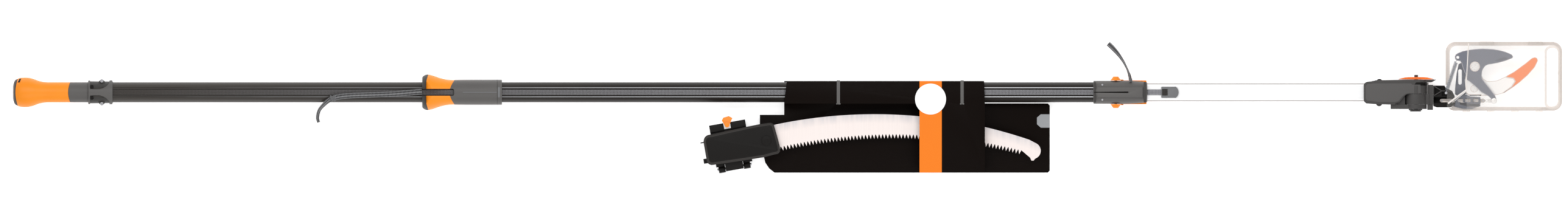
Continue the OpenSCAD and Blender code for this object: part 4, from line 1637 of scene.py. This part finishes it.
@dataclass
class SlideGrip:
    """Sliding pull grip: dark rim, orange flare and grey sleeve on a liner.

    Attributes:
        bore: Radius of its bore.
        brim: Axis place and radius of the drum between the rim and the flare.
        nose: Axis place and radius of the drum between the flare and the sleeve.
        gap: Space between two colours.
        waist: Start of the sleeve.
        skin: Radius just under the sleeve's surface.
        bench: Bench that its pieces are made on.
    """

    bore: float = 17.25
    brim: Point = (575.5, 72.7)
    nose: Point = (661.7, 27.3)
    gap: float = 0.1
    waist: float = 678.0
    skin: float = 19.3
    bench: Bench = Bench("slide_grip")

    @staticmethod
    def _slot(x: float) -> Solid:
        """The slot that the strap runs out of.

        Args:
            x: Start of the grip.

        Returns:
            The cutter.
        """
        outline = [(x - 3, -5.4), *arc((x + 47, -2.4), 3, -90, 0, 4), *arc((x + 47, 2.4), 3, 0, 90, 4),
                   (x - 3, 5.4)]
        return Solid.prism(outline, 13.5, 42)

    def build(self) -> None:
        """Make every piece."""
        x = span("grip_rim")[0][0]
        rim = eased([(x, 22.6), (x + 0.6, 24.2), (x + 3, 26.2), (x + 6, 27.6), (x + 8.2, 28)], 4)
        flare = eased([
            (x + 8.6, 27.95), (x + 13.5, 27.1), (x + 18.5, 25.6), (x + 24.5, 23.5), (x + 30.5, 21.6),
            (x + 37.5, 20.1), (x + 44.5, 19.3), (x + 54, 19.1),
        ], 4)
        cone = Solid.turned([(x, self.bore), *rim, *flare, (x + 54, self.bore)])
        brim = cone.copy().keep(Solid.drum(*self.brim)).cut(self._slot(x))
        self.bench.piece("grip_rim_skin", brim, Paint.DARK, "plastic_dark", ["grip_rim"])
        cone.cut(Solid.drum(self.brim[0], self.brim[1] + self.gap), self._slot(x))
        cone.keep(Solid.drum(*self.nose))
        self.bench.piece("grip_flare_skin", cone, Paint.ORANGE, "plastic_orange", ["grip_flare"])
        start, end, skin = self.waist, span("grip_sleeve")[1][0], self.skin
        body = eased([(start, 19.05), (start + 12, 19.35), (start + 26, 19.55), (start + 52, 19.6),
                      (end - 3, 19.6), (end - 0.8, skin), (end, 18.7)], 4)
        sleeve = Solid.turned([(start, self.bore), *body, (end, self.bore)])
        sleeve.cut(Solid.drum(self.nose[0], self.nose[1] + self.gap), self._slot(x))
        self.bench.piece("grip_sleeve_skin", sleeve, Paint.GREY, "plastic_grey", ["grip_sleeve"])
        ring = Solid.turned([(end - 7.6, skin), (end - 7.6, 19.72), (end - 6.8, 19.72), (end - 6.8, skin)])
        self.bench.piece("grip_end_line", ring, Paint.DARK, "plastic_grey")
        # Painted highlight: a lighter band on top of the sleeve's end.
        glint = Solid.turned([(end - 6.2, skin), (end - 6.2, 19.68), (end - 3.2, 19.66), (end - 3.2, skin)])
        glint.keep(Solid.block((end - 10, -8, 0), (end, 8, 30)))
        self.bench.piece("grip_end_painted_highlight", glint, Paint.TAB_AND_HIGHLIGHT, "plastic_grey")
        seam = Solid.along(
            arc((0, 0), 19.66, 88.6, 91.4, 3) + arc((0, 0), skin, 91.4, 88.6, 3), start + 24, end - 8,
        )
        self.bench.piece("grip_seam", seam.closed(), Paint.TAB_AND_HIGHLIGHT, "plastic_grey")
        dress(Paint.DARK, "grip_liner")


@dataclass
class PoleClamp:
    """Lever clamp between the tubes.

    Attributes:
        slit: Length of the slit in its face.
        bench: Bench that its pieces are made on.
    """

    slit: float = 54.0
    bench: Bench = Bench("pole")

    def build(self) -> None:
        """Make every piece."""
        x = span("clamp_shell_upper")[0][0]
        end = x + self.slit
        panel = Solid.prism(rounded((x + 6.5, -7.6), (x + 76.5, 7.6), 3), 18.2, 19.0)
        tip = arc((end + 0.5, 0), 1.3, -80, 80, 6)
        taper = [(x + 1, -0.6), (end, -1.3), *tip, (end, 1.3), (x + 1, 0.6)]
        panel.cut(Solid.prism(taper, 17, 20)).bevelled(0.35)
        self.bench.softened("clamp_shell_upper", Paint.GREY, "plastic_grey", 0.5, panel)
        self.bench.softened("clamp_shell_lower", Paint.GREY, "plastic_grey", 0.5)
        line = Solid.prism([(x + 1, -0.6), (end, -1.3), (end, 1.3), (x + 1, 0.6)], 15.9, 18.7)
        self.bench.piece("clamp_slit_shadow", line, Paint.BLACK_AND_SHADOW, "plastic_dark")
        rims = Solid()
        for low, high in ((x + 0.6, x + 4.2), (x + 78.5, x + 82.6)):
            rims.add(Solid.prism(rounded((low, -16.2), (high, 16.2), 1.2, 4), 16.2, 18.1).bevelled(0.4))
        self.bench.piece("clamp_end_bands", rims, Paint.DARK, "plastic_grey")
        dress(Paint.PLATED, "clamp_screws", "lever_pins")
        Bench("clamp_lever").softened("clamp_lever", Paint.AMBER, "plastic_orange", 0.6)


@dataclass
class InnerPole:
    """Pale inner tube with its strap and tab.

    Attributes:
        radius: Outside radius of the tube.
        flat: Height of its flat.
        wall: Wall of the tube.
        slot: Half width and end of the slot that the strap lies in.
        bench: Bench that its pieces are made on.
    """

    radius: float = 14.1
    flat: float = 11.0
    wall: float = 1.2
    slot: Point = (4.7, 1800.0)
    bench: Bench = Bench("inner_pole")

    def build(self) -> None:
        """Make every piece."""
        low, high = span("inner_tube")
        x0, x1 = low[0], high[0]
        side, slot_end = self.slot
        bore = flatted(self.radius - self.wall, self.flat - 2.6)
        tube = Solid.along(flatted(self.radius, self.flat), x0, x1).cut(
            Solid.along(bore, x0 - 1, x1 + 1),
            Solid.block((x0 - 1, -side, self.flat - 1.4), (slot_end, side, self.flat + 1)),
        )
        self.bench.piece("inner_tube_skin", tube, Paint.WHITE_TUBE, "alloy_white", ["inner_tube"])
        dress(Paint.DARK, "inner_guide_bush")
        dress(Paint.PALE_WEAVE, "inner_strap")
        tab = span("strap_tab")[0][0]
        end = Solid.along(rounded((-3.85, 10.9), (3.85, 12.6), 0.8, 4), tab - 21, tab + 1)
        self.bench.piece("strap_end", end, Paint.PALE_WEAVE, "strap")
        loop = Solid.along(rounded((-side, 11.1), (side, 13.9), 1.1, 4), tab + 1.2, tab + 9.6)
        self.bench.piece("tab_strap_loop", loop, Paint.LOOP_WEAVE, "strap")
        self.bench.softened("strap_tab", Paint.TAB_AND_HIGHLIGHT, "plastic_grey", 0.7)


# ---- pruner head ----


@dataclass
class HeadHousing:
    """Housing at the end of the inner pole, its bolt and its lock knob.

    Attributes:
        nose: Radius of the housing's round end, about the tilt bolt.
        bench: Bench that its pieces are made on.
    """

    nose: float = 17.3
    bench: Bench = Bench("inner_pole")

    def shells(self, x: float) -> None:
        """Make the shells with their raised face; the shells take a darker copy of the face's plastic as
        painted shade.

        Args:
            x: Place of the tilt bolt.
        """
        panel = Solid.prism([
            (2113, -13), (2111, -9), (2111, 9.5), (2113.5, 13), (2124, 14), (2182, 14), (2184, 12),
            (2206, 12), (2206, -1.2), (2179, -1.2), (2173, -2.6), (2168.5, -6.2), (2163, -13),
            (2160.5, -14.6), (2156, -15.4), (2130, -15.2),
        ], 15.6, 16.7)
        panel.keep(Solid.block((2100, -40, 0), (x, 40, 30)).join(Solid.drum(x, self.nose, ROUND)))
        panel.bevelled(0.7, 3)
        self.bench.piece("head_face_panel", panel, Paint.HOUSING, "plastic_grey")
        # Painted shade: the shells are the face's plastic in a darker tone.
        self.bench.softened("head_shell_upper", Paint.SHADE_AND_HIGHLIGHT_GREY, "plastic_grey", 1.2)
        self.bench.softened("head_shell_lower", Paint.SHADE_AND_HIGHLIGHT_GREY, "plastic_grey", 1.0)
        dress(Paint.PLATED, "head_screws")

    def bolt(self, x: float) -> None:
        """Make the tilt bolt's nut, and black pieces that paint shadow in the arm's slot and in the gaps
        round the knuckle.

        Args:
            x: Place of the bolt.
        """
        self.bench.softened("tilt_nut", Paint.DARK, "plastic_dark", 0.5)
        # Painted shadow: a black skin over the floor of the arm's slot.
        arm_slot_shade = Solid.rod((x, 10.7, 0), (x, 15.3, 0), self.nose + 0.05, sides=ROUND)
        arm_slot_shade.keep(Solid.block((2184.5, 10, -8.1), (2220, 16, 16)))
        self.bench.piece("arm_slot_painted_shadow", arm_slot_shade, Paint.BLACK_AND_SHADOW, "plastic_dark")
        # Painted shadow: thin black discs in the gaps between the knuckle and the shells.
        gap_shades = Solid.rod((x, -2.58, 0), (x, -2.32, 0), 16.9, sides=ROUND)
        gap_shades.add(Solid.rod((x, -19.48, 0), (x, -19.22, 0), 16.4, sides=ROUND))
        self.bench.piece("tilt_gap_painted_shadows", gap_shades, Paint.BLACK_AND_SHADOW, "plastic_dark")
        # Painted shadow: a black block in the gap beside the knuckle.
        knuckle_gap_shade = Solid.block((2168, -19.4, -10.6), (2175.6, -2.4, -9.8))
        self.bench.piece("knuckle_gap_painted_shadow", knuckle_gap_shade, Paint.BLACK_AND_SHADOW, "plastic_dark")
        dress(Paint.DARK, "tilt_bolt")

    @staticmethod
    def lock_knob(x: float) -> None:
        """Make the lock knob with the ribs of its grip.

        Args:
            x: Place of its axis.
        """
        profile = eased([(27.4, 0.2), (27.5, 0.9), (25, 1.7), (20, 3.0), (16, 3.9)], 4)
        knob = Solid.turned([(0.05, 3.1), *[(h, r) for r, h in profile], (3.95, 3.1)], 64)
        knob.placed(Matrix.Rotation(math.pi / 2, 4, "Z")).moved(x, 19.9, 0)
        knob.keep(Solid.prism(rounded((2160, 10), (2220, 32), 1, 2), -13, 13))
        grip = Solid()
        for step in range(-4, 5):
            at, crest = x + step * 5.6, 23.0 - abs(step) * 0.45
            grip.add(Solid.block((at - 0.5, 20.4, -13.2), (at + 0.5, crest, 13.2)))
        Bench("lock_knob").piece("lock_knob_skin", knob.bevelled(0.5).add(grip), Paint.SIGNAL,
                                 "plastic_red_orange", ["lock_knob"])

    def build(self) -> None:
        """Make every piece."""
        x = middle("lock_knob")[0]
        self.shells(x)
        self.bolt(x)
        self.lock_knob(x)


@dataclass
class CutterHead:
    """Neck, frame, hook, bolts and return spring of the pruner.

    Attributes:
        ear: Place of the spring's coil end at the blade.
        foot: Place of its coil end at the frame.
        turns: Turns of the spring.
        per_turn: Points in a turn.
        coil: Radius of the coil's middle line.
        wire: Radius of its wire.
        windows: Starts of the chain guide's windows along the pole.
        bench: Bench that its pieces are made on.
    """

    ear: Point = (2251.9, 46.8, 6.8)
    foot: Point = (2238.2, 4.6, 6.8)
    turns: int = 25
    per_turn: int = 12
    coil: float = 2.75
    wire: float = 0.52
    windows: tuple[float, ...] = (2254.0, 2266.0, 2278.0)
    bench: Bench = Bench("cutter_head")

    def frame(self) -> None:
        """Make the neck and the frame plates, with painted shade on the neck, a painted shadow strip beside
        it and painted highlights on the frame's ribs.
        """
        rib = Solid.rod((2210.4, 11, 7.0), (2210.4, -19, 7.0), 0.7, sides=12)
        # Painted shade: the neck knuckle takes the darker copy of the housing plastic.
        self.bench.softened("neck_knuckle", Paint.SHADE_AND_HIGHLIGHT_GREY, "plastic_dark", 0.9, rib)
        # Painted shadow: a black strip in the gap between the neck and the housing's arms.
        neck_shade = Solid.block((2207.1, -26, -0.8), (2208.65, 10.5, 0.8))
        neck_shade.join(Solid.block((2207.45, 10, -0.8), (2208.65, 15.2, 0.8)))
        self.bench.piece("neck_painted_shadow", neck_shade.bevelled(0.2, 1), Paint.BLACK_AND_SHADOW, "plastic_dark")
        # Painted highlights: grey rods along the ribs of the black frame.
        rib_highlights = Solid()
        for a, b in (((2218, 9.5), (2229, 2.6)), ((2218, -5), (2229, 1.8)), ((2229, 2.2), (2244, 2.2))):
            rib_highlights.add(Solid.rod((*a, 5.8), (*b, 5.8), 0.8, sides=10))
        self.bench.softened("cutter_frame", Paint.BLACK_AND_SHADOW, "plastic_dark", 0.5)
        self.bench.piece("frame_rib_highlights", rib_highlights, Paint.SHADE_AND_HIGHLIGHT_GREY, "plastic_dark")
        fold = Solid()
        edge = [(2266.2, 20), (2267.8, 4), (2266.6, 0.4), (2245.5, -17.2)]
        for a, b in zip(edge, edge[1:]):
            fold.add(Solid.rod((*a, -0.62), (*b, -0.62), 0.5, sides=10))
        self.bench.piece("frame_fold", fold, Paint.HOOK, "blade_coated")
        self.bench.softened("frame_cover", Paint.COVER_AND_REFLECTION, "blade_coated", 0.4)

    def guide(self) -> None:
        """Make the chain guide with its windows and the channel behind it."""
        guide = Solid.of_node("chain_guide")
        for x in self.windows:
            guide.cut(Solid.prism(rounded((x, -15.4), (x + 9, -9.6), 1.6, 4), -5, 5))
        channel = Solid.prism([
            (2243.5, -19.5), (2251, -9), (2262, -9), (2289, -9.4), (2290, -21.8), (2276, -25.6),
            (2262, -25.2), (2248, -23),
        ], -11.9, -11.1)
        self.bench.piece("chain_channel", channel.bevelled(0.25, 1), Paint.COVER_AND_REFLECTION, "blade_coated")
        self.bench.piece("chain_guide_skin", guide.bevelled(0.3), Paint.COVER_AND_REFLECTION, "blade_coated",
                         ["chain_guide"])

    def hook(self) -> None:
        """Make the hook blade, its painted tip and the bolts, with painted shade round their edges."""
        self.bench.ground("hook_blade", Paint.HOOK, Paint.HOOK_RIM_SHADE, "blade_bright", 1.0)
        self.bench.ground("hook_tip", Paint.HOOK_TIP, Paint.HOOK_RIM_SHADE, "blade_orange", 0.8)
        dress(Paint.BOLT, "pivot_bolt", "frame_bolt")
        pivot, bolt = middle("pivot_bolt")[:2], middle("frame_bolt")[:2]
        washer = Solid.rod((*pivot, 3.1), (*pivot, 3.7), 7.9, sides=64)
        self.bench.piece("pivot_washer", washer.bevelled(0.2, 1).rimmed(0.8), Paint.BOLT, "steel",
                         rim=Paint.HOOK_RIM_SHADE)
        cap = Solid.rod((*bolt, -0.28), (*bolt, -0.05), 5.9, sides=48)
        self.bench.piece("frame_bolt_cap", cap.rimmed(0.7), Paint.BOLT, "steel", rim=Paint.HOOK_RIM_SHADE)

    def spring(self) -> None:
        """Wind the return spring and bend its end hooks."""
        a, b, up = Vector(self.ear), Vector(self.foot), Vector((0, 0, 1))
        ahead = (b - a).normalized()
        across = ahead.cross(up)
        line = [tuple(a - ahead * 6 + up * -3.2), tuple(a - ahead * 4.5), tuple(a - ahead * 1.5)]
        for i in range(self.turns * self.per_turn + 1):
            angle = math.tau * i / self.per_turn
            at = a.lerp(b, i / (self.turns * self.per_turn))
            out = across * self.coil * math.cos(angle) + up * self.coil * math.sin(angle)
            line.append(tuple(at + out))
        line += [tuple(b + ahead * 1.5), tuple(b + ahead * 4.5), tuple(b + ahead * 6.4 + up * -1.5)]
        solid = Solid.wire(line, self.wire)
        obj = self.bench.piece("return_spring_coil", solid, Paint.WIRE, "spring_steel",
                               ["return_spring"], rides=False)
        tuple(a.lerp(b, 0.75) * MM)
        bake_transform(obj)
        dress(Paint.PLATED, "spring_pin")

    def build(self) -> None:
        """Make every piece."""
        self.frame()
        self.guide()
        self.hook()
        self.spring()


@dataclass
class CutterBlade:
    """Coated cutting blade with its ground edge, and the tail pin.

    Attributes:
        tail: Place of the tail pin's head.
        bench: Bench that its pieces are made on.
    """

    tail: Point = (2311.4, -13.2)
    bench: Bench = Bench("cutter_blade")

    def build(self) -> None:
        """Make every piece."""
        self.bench.ground("cutting_blade", Paint.COATED, Paint.BLADE_RIM, "blade_coated", 0.8)
        # Painted reflection: a darker patch on the coated blade.
        shine = Solid.prism([(2311.5, 49.8), (2329, 55.5), (2333.5, 52.2), (2318.5, 48.6)], 3.0, 3.12)
        self.bench.piece("blade_painted_reflection", shine, Paint.COVER_AND_REFLECTION, "blade_coated")
        dress(Paint.BOLT, "tail_pin")
        ring = Solid.rod((*self.tail, 4.5), (*self.tail, 4.9), 4.2, sides=40)
        self.bench.piece("tail_cap", ring.bevelled(0.15), Paint.BOLT, "steel")


@dataclass
class DriveChain:
    """Links and pins of the drive chain.

    Attributes:
        bench: Bench that its pieces are made on.
    """

    bench: Bench = Bench("drive_chain")

    def build(self) -> None:
        """Make every piece."""
        self.bench.softened("drive_chain", Paint.LINK, "chain_steel", 0.2)
        dress(Paint.PLATED, "chain_pins")


# ---- blade guard ----


@dataclass
class BladeGuard:
    """Clear clamshell over the pruner's blades.

    Attributes:
        low: Lowest corner of its outline.
        high: Highest corner of its outline.
        corner: Radius of its corners.
        wall: Thickness of its walls.
        divider: End of the space for the blades.
        slot: Lowest and highest corners of the hang slot.
        frame: Lowest and highest corners of the raised frame round the slot.
        catches: Places of the two small catches on the slot's edge.
        snaps: Starts of the snaps along the guard's long side.
        mouth: Lowest and highest Y of the opening for the frame.
        split: Height where its halves meet.
        top: Height of its front.
        floor: Height of its back.
    """

    low: tuple[float, float] = (2235.8, -29.0)
    high: tuple[float, float] = (2417.8, 78.9)
    corner: float = 15.0
    wall: float = 1.6
    divider: float = 2389.5
    slot: tuple[Point, Point] = ((2394.0, -21.9), (2411.0, 68.7))
    frame: tuple[Point, Point] = ((2390.4, -26.0), (2414.4, 72.4))
    catches: tuple[Point, Point] = ((2411.4, 30.0), (2411.4, 17.0))
    snaps: tuple[float, float] = (2288.0, 2364.0)
    mouth: tuple[float, float] = (-24.4, 11.6)
    split: float = -9.0
    top: float = 12.0
    floor: float = -28.1

    def _shell(self, z0: float, z1: float, lid: float) -> Solid:
        """Thin shell with round corners, one face closed, with the hang slot through it.

        Args:
            z0: Height of its foot.
            z1: Height of its top.
            lid: Above 0 where the top is closed, below 0 where the foot is.

        Returns:
            The shell.
        """
        inset, grow = self.wall, 5
        outer = Solid.prism(rounded(self.low, self.high, self.corner, 10), z0, z1).bevelled(2.2, 4)
        hollow0, hollow1 = (z0 - grow, z1 - inset) if lid > 0 else (z0 + inset, z1 + grow)
        low = (self.low[0] + inset, self.low[1] + inset)
        high = (self.divider, self.high[1] - inset)
        chamber = Solid.prism(rounded(low, high, 9, 8), hollow0, hollow1)
        slot = Solid.prism(rounded(*self.slot, 6.5, 8), z0 - 20, z1 + 20)
        return outer.cut(chamber, slot, self._opening(inset + 0.4))

    def _opening(self, depth: float) -> Solid:
        """Cutter of the opening for the frame, a depth into the outline."""
        low, high = self.mouth
        return Solid.block((self.low[0] - 5.8, low, -60), (self.low[0] + depth, high, 60))

    def _bumps(self, z0: float, z1: float) -> Solid:
        """The two small catches on the slot's edge.

        Args:
            z0: Height of their feet.
            z1: Height of their tops.

        Returns:
            Both catches.
        """
        made = Solid()
        for place in self.catches:
            made.add(Solid.rod((*place, z0), (*place, z1), 2.6, sides=24))
        return made

    def _band(self, z0: float, z1: float, width: float) -> Solid:
        """Milky band round the outline, open at the frame's mouth.

        Args:
            z0: Height of its foot.
            z1: Height of its top.
            width: Width of the band.

        Returns:
            The band.
        """
        band = Solid.prism(rounded(self.low, self.high, self.corner, 10), z0, z1)
        low = (self.low[0] + width, self.low[1] + width)
        inner = rounded(low, (self.high[0] - width, self.high[1] - width), 11, 8)
        return band.cut(Solid.prism(inner, -40, 40), self._opening(9.2))

    def front(self) -> None:
        """Make the front half with its rim, ribs, snaps and hang slot catches."""
        bench = Bench("guard_front")
        shell = self._shell(self.split + 0.1, self.top, 1).add(self._bumps(self.top - 6, self.top - 1))
        bench.piece("guard_front_shell", shell, Paint.CLEAR, "guard_clear", ["guard_front"])
        bench.piece("guard_front_rim", self._band(self.split + 0.2, self.split + 2, 6.4),
                    Paint.CLEAR_RIM, "guard_clear")
        frame = Solid.prism(rounded(*self.frame, 9, 8), self.top - 3.2, self.top - 2)
        frame.cut(Solid.prism(rounded((2393.8, -22.2), (2411.2, 69), 6.6, 8), -40, 40))
        rib = Solid()
        bend = [(2271.6, 76.5), (2268.3, 19), (2268.2, 3.6), (2239.5, -17.4)]
        for (start, end), radius in zip(zip(bend, bend[1:]), (0.8, 0.9, 1.4)):
            rib.add(Solid.rod((*start, self.top - 2.4), (*end, self.top - 2.4), radius, sides=12))
        bench.piece("guard_front_ribs", rib, Paint.CLEAR_RIB, "guard_clear")
        for x in self.snaps:
            outline = rounded((x, 73.4), (x + 23.5, 79.8), 1.6, 4)
            frame.add(Solid.prism(outline, self.split + 0.2, self.split + 8).bevelled(0.5))
        bench.piece("guard_slot_frame", frame, Paint.CLEAR_RIM, "guard_clear")

    def back(self) -> None:
        """Make the back half and its hinge pins."""
        bench = Bench("cutter_head")
        shell = self._shell(self.floor, self.split - 0.1, -1)
        bench.piece("guard_back_shell", shell, Paint.CLEAR_BACK, "guard_clear", ["guard_back"])
        bench.piece("guard_back_rim", self._band(self.split - 2, self.split - 0.2, 5.0),
                    Paint.CLEAR_RIM, "guard_clear")
        dress(Paint.CLEAR_RIM, "guard_hinge_pin")

    def build(self) -> None:
        """Make both halves."""
        self.front()
        self.back()


# ---- saw ----


@dataclass
class Saw:
    """Curved saw with its holder and pole clamp.

    Attributes:
        back: Centre of the back's arc.
        back_radius: Radius of the back's arc.
        tips: Centre of the tooth tips' arc.
        tip_radius: Radius of that arc.
        pitch: Distance between teeth.
        gullet: Depth of the teeth.
        heel: Angle of the first tooth on the tips' arc, in degrees.
        toe: Angle of the last tooth.
        thick: Thickness of the blade.
        low: Lower face of the blade.
        turn: Turn of the holder about Z, in degrees.
        at: Place of the holder's own origin.
        screw: Place of the screw cap on the holder.
        bench: Bench that its pieces are made on.
    """

    back: Point = (1344.7, -783.6)
    back_radius: float = 749.3
    tips: Point = (1373.8, -873.0)
    tip_radius: float = 800.7
    pitch: float = 5.3
    gullet: float = 6.4
    heel: float = 105.2
    toe: float = 75.6
    thick: float = 1.8
    low: float = 2.0
    turn: float = 10.0
    at: Point = (1136.0, -81.5)
    screw: Point = (40.0, -1.0)
    bench: Bench = Bench("saw_unit")

    def _on_holder(self, solid: Solid) -> Solid:
        """Turn a solid from the holder's own frame into place."""
        return solid.placed(
            Matrix.Translation((self.at[0] * MM, self.at[1] * MM, 0))
            @ Matrix.Rotation(math.radians(self.turn), 4, "Z")
        )

    def _tooth(self, angle: float, depth: float) -> Point:
        """Point at an angle in degrees, a depth inside the tooth tips' arc."""
        radius, turn = self.tip_radius + depth, math.radians(angle)
        return self.tips[0] + radius * math.cos(turn), self.tips[1] + radius * math.sin(turn)

    def _over(self, x: float) -> Point:
        """Point of the blade's back above a place along the pole."""
        return x, self.back[1] + math.sqrt(self.back_radius ** 2 - (x - self.back[0]) ** 2)

    def blade(self) -> None:
        """Cut the blade: a curved plate with slanting teeth and a hooked end."""
        count = int(math.radians(self.heel - self.toe) * self.tip_radius / self.pitch)
        step = (self.heel - self.toe) / count
        shape = ((0.0, self.gullet), (0.18, self.gullet + 0.5), (0.55, 0.0), (1.0, self.gullet))
        cells = []
        for i in range(count):
            tooth = [self._tooth(self.toe + step * (i + lean), depth) for lean, depth in shape]
            cells.append([self._over(tooth[0][0]), *tooth, self._over(tooth[3][0])])
        start = self._tooth(self.toe, self.gullet)
        nose = [(1587.4, -102.2), (1589.2, -106.6), (1592.5, -106.8),
                *arc((1591, -91.4), 12.9, -70, 62, 12)]
        cells.append([start, (1580.5, -96.4), *nose, self._over(1586), self._over(start[0])])
        plate = Solid.paved(cells, self.low, self.low + self.thick)
        self.bench.piece("saw_blade_plate", plate, Paint.SAW, "saw_steel", ["saw_blade"])

    def holder(self) -> None:
        """Make the holder's crowned cover, with a painted highlight on its bevelled border, and its back.
        """
        outline = [
            (-57, 14), *arc((-48, -15), 9, 180, 268, 8), (0, -25.4), (32, -26), (48, -24.6),
            *arc((52, -17.6), 7, -75, -4, 8), (59.2, -12), (57.6, 6), *arc((49, 18.5), 7.2, 0, 84, 8),
            (34, 26.1), (13, 25.7), (-20, 24.4), (-42, 23.3), *arc((-47, 14), 9.5, 92, 165, 8),
        ]
        body = Solid.prism(outline, self.low + self.thick + 0.05, 11)
        top = [f for f in body.bm.faces if f.normal.z > 0.9]
        # The two outer rings take the painted highlight.
        for thickness, rise, shade in ((1.6, 1.3, 1), (2.2, 1.0, 1), (2.4, 0.45, 0)):
            ring = bmesh.ops.inset_region(
                body.bm, faces=top, thickness=thickness * MM, use_even_offset=True
            )["faces"]
            for face in ring:
                face.material_index = shade
            bmesh.ops.translate(
                body.bm, verts=list({v for f in top for v in f.verts}), vec=(0, 0, rise * MM)
            )
        body.bevelled(0.5, 2, 55)
        self.bench.piece("saw_holder_front_skin", self._on_holder(body), Paint.BLACK_AND_SHADOW, "plastic_black",
                         ["saw_holder_front"], Paint.HOLDER_RIM_HIGHLIGHT)
        self.bench.softened("saw_holder_back", Paint.BLACK_AND_SHADOW, "plastic_black", 1.0)
        x, y = self.screw
        cap = Solid.rod((x, y, 12), (x, y, 14.0), 7.6, sides=64).bevelled(0.5, 3)
        ring = Solid.rod((x, y, 12), (x, y, 14.1), 8.6, sides=64)
        ring.cut(Solid.rod((x, y, 11), (x, y, 15), 8.0, sides=64))
        dot = Solid.rod((x, y, 13.5), (x, y, 14.25), 3.2, 2.2, sides=40)
        self.bench.piece("saw_screw_cap_skin", self._on_holder(cap.add(ring, dot)), Paint.BLACK_AND_SHADOW,
                         "plastic_black", ["saw_screw_cap"])

    def clamp(self) -> None:
        """Make the pole clamp's jaw, bolt and wing nut."""
        Bench("saw_clamp_jaw").softened("saw_clamp_jaw", Paint.BLACK_AND_SHADOW, "plastic_black", 1.2)
        dress(Paint.BOLT, "saw_clamp_bolt")
        dress(Paint.PLATED, "saw_jaw_pin")
        Bench("saw_wing_nut").softened("saw_wing_nut", Paint.AMBER, "plastic_orange", 0.6)

    def build(self) -> None:
        """Make every piece."""
        self.blade()
        self.holder()
        self.clamp()


# ---- card carrier ----


@dataclass
class Carrier:
    """Black card that holds the saw to the pole, with its band, disc, badge and ties.

    Attributes:
        ties: Starts of the two cable ties along the pole.
        bench: Bench that its pieces are made on.
    """

    ties: tuple[float, float] = (1285.4, 1478.5)
    bench: Bench = Bench("pole")

    def build(self) -> None:
        """Make every piece."""
        self.bench.softened("card_back", Paint.CARD, "card_black", 0.25)
        self.bench.softened("card_front", Paint.CARD, "card_black", 0.25)
        dress(Paint.BAND, "card_band")
        dress(Paint.DISC, "card_disc")
        dress(Paint.BADGE, "card_badge")
        heads = Solid()
        for x in self.ties:
            heads.add(Solid.block((x - 1.4, -14, -19.0), (x + 6.7, -7, -17)).bevelled(0.6))
        self.bench.softened("cable_ties", Paint.GREY, "plastic_grey", 0.5, heads)


def main() -> None:
    """Build the stage, the straps and every sub-assembly, and report each."""
    logging.basicConfig(level=logging.INFO, format="%(name)s %(message)s")
    builders = (
        Stage(), StrapTails(), Pole(), ButtKnob(), SlideGrip(), PoleClamp(), InnerPole(),
        HeadHousing(), CutterHead(), CutterBlade(), DriveChain(), BladeGuard(), Saw(), Carrier(),
    )
    for builder in builders:
        LOG.info("building %s", type(builder).__name__)
        builder.build()


if __name__ == "__main__":
    main()
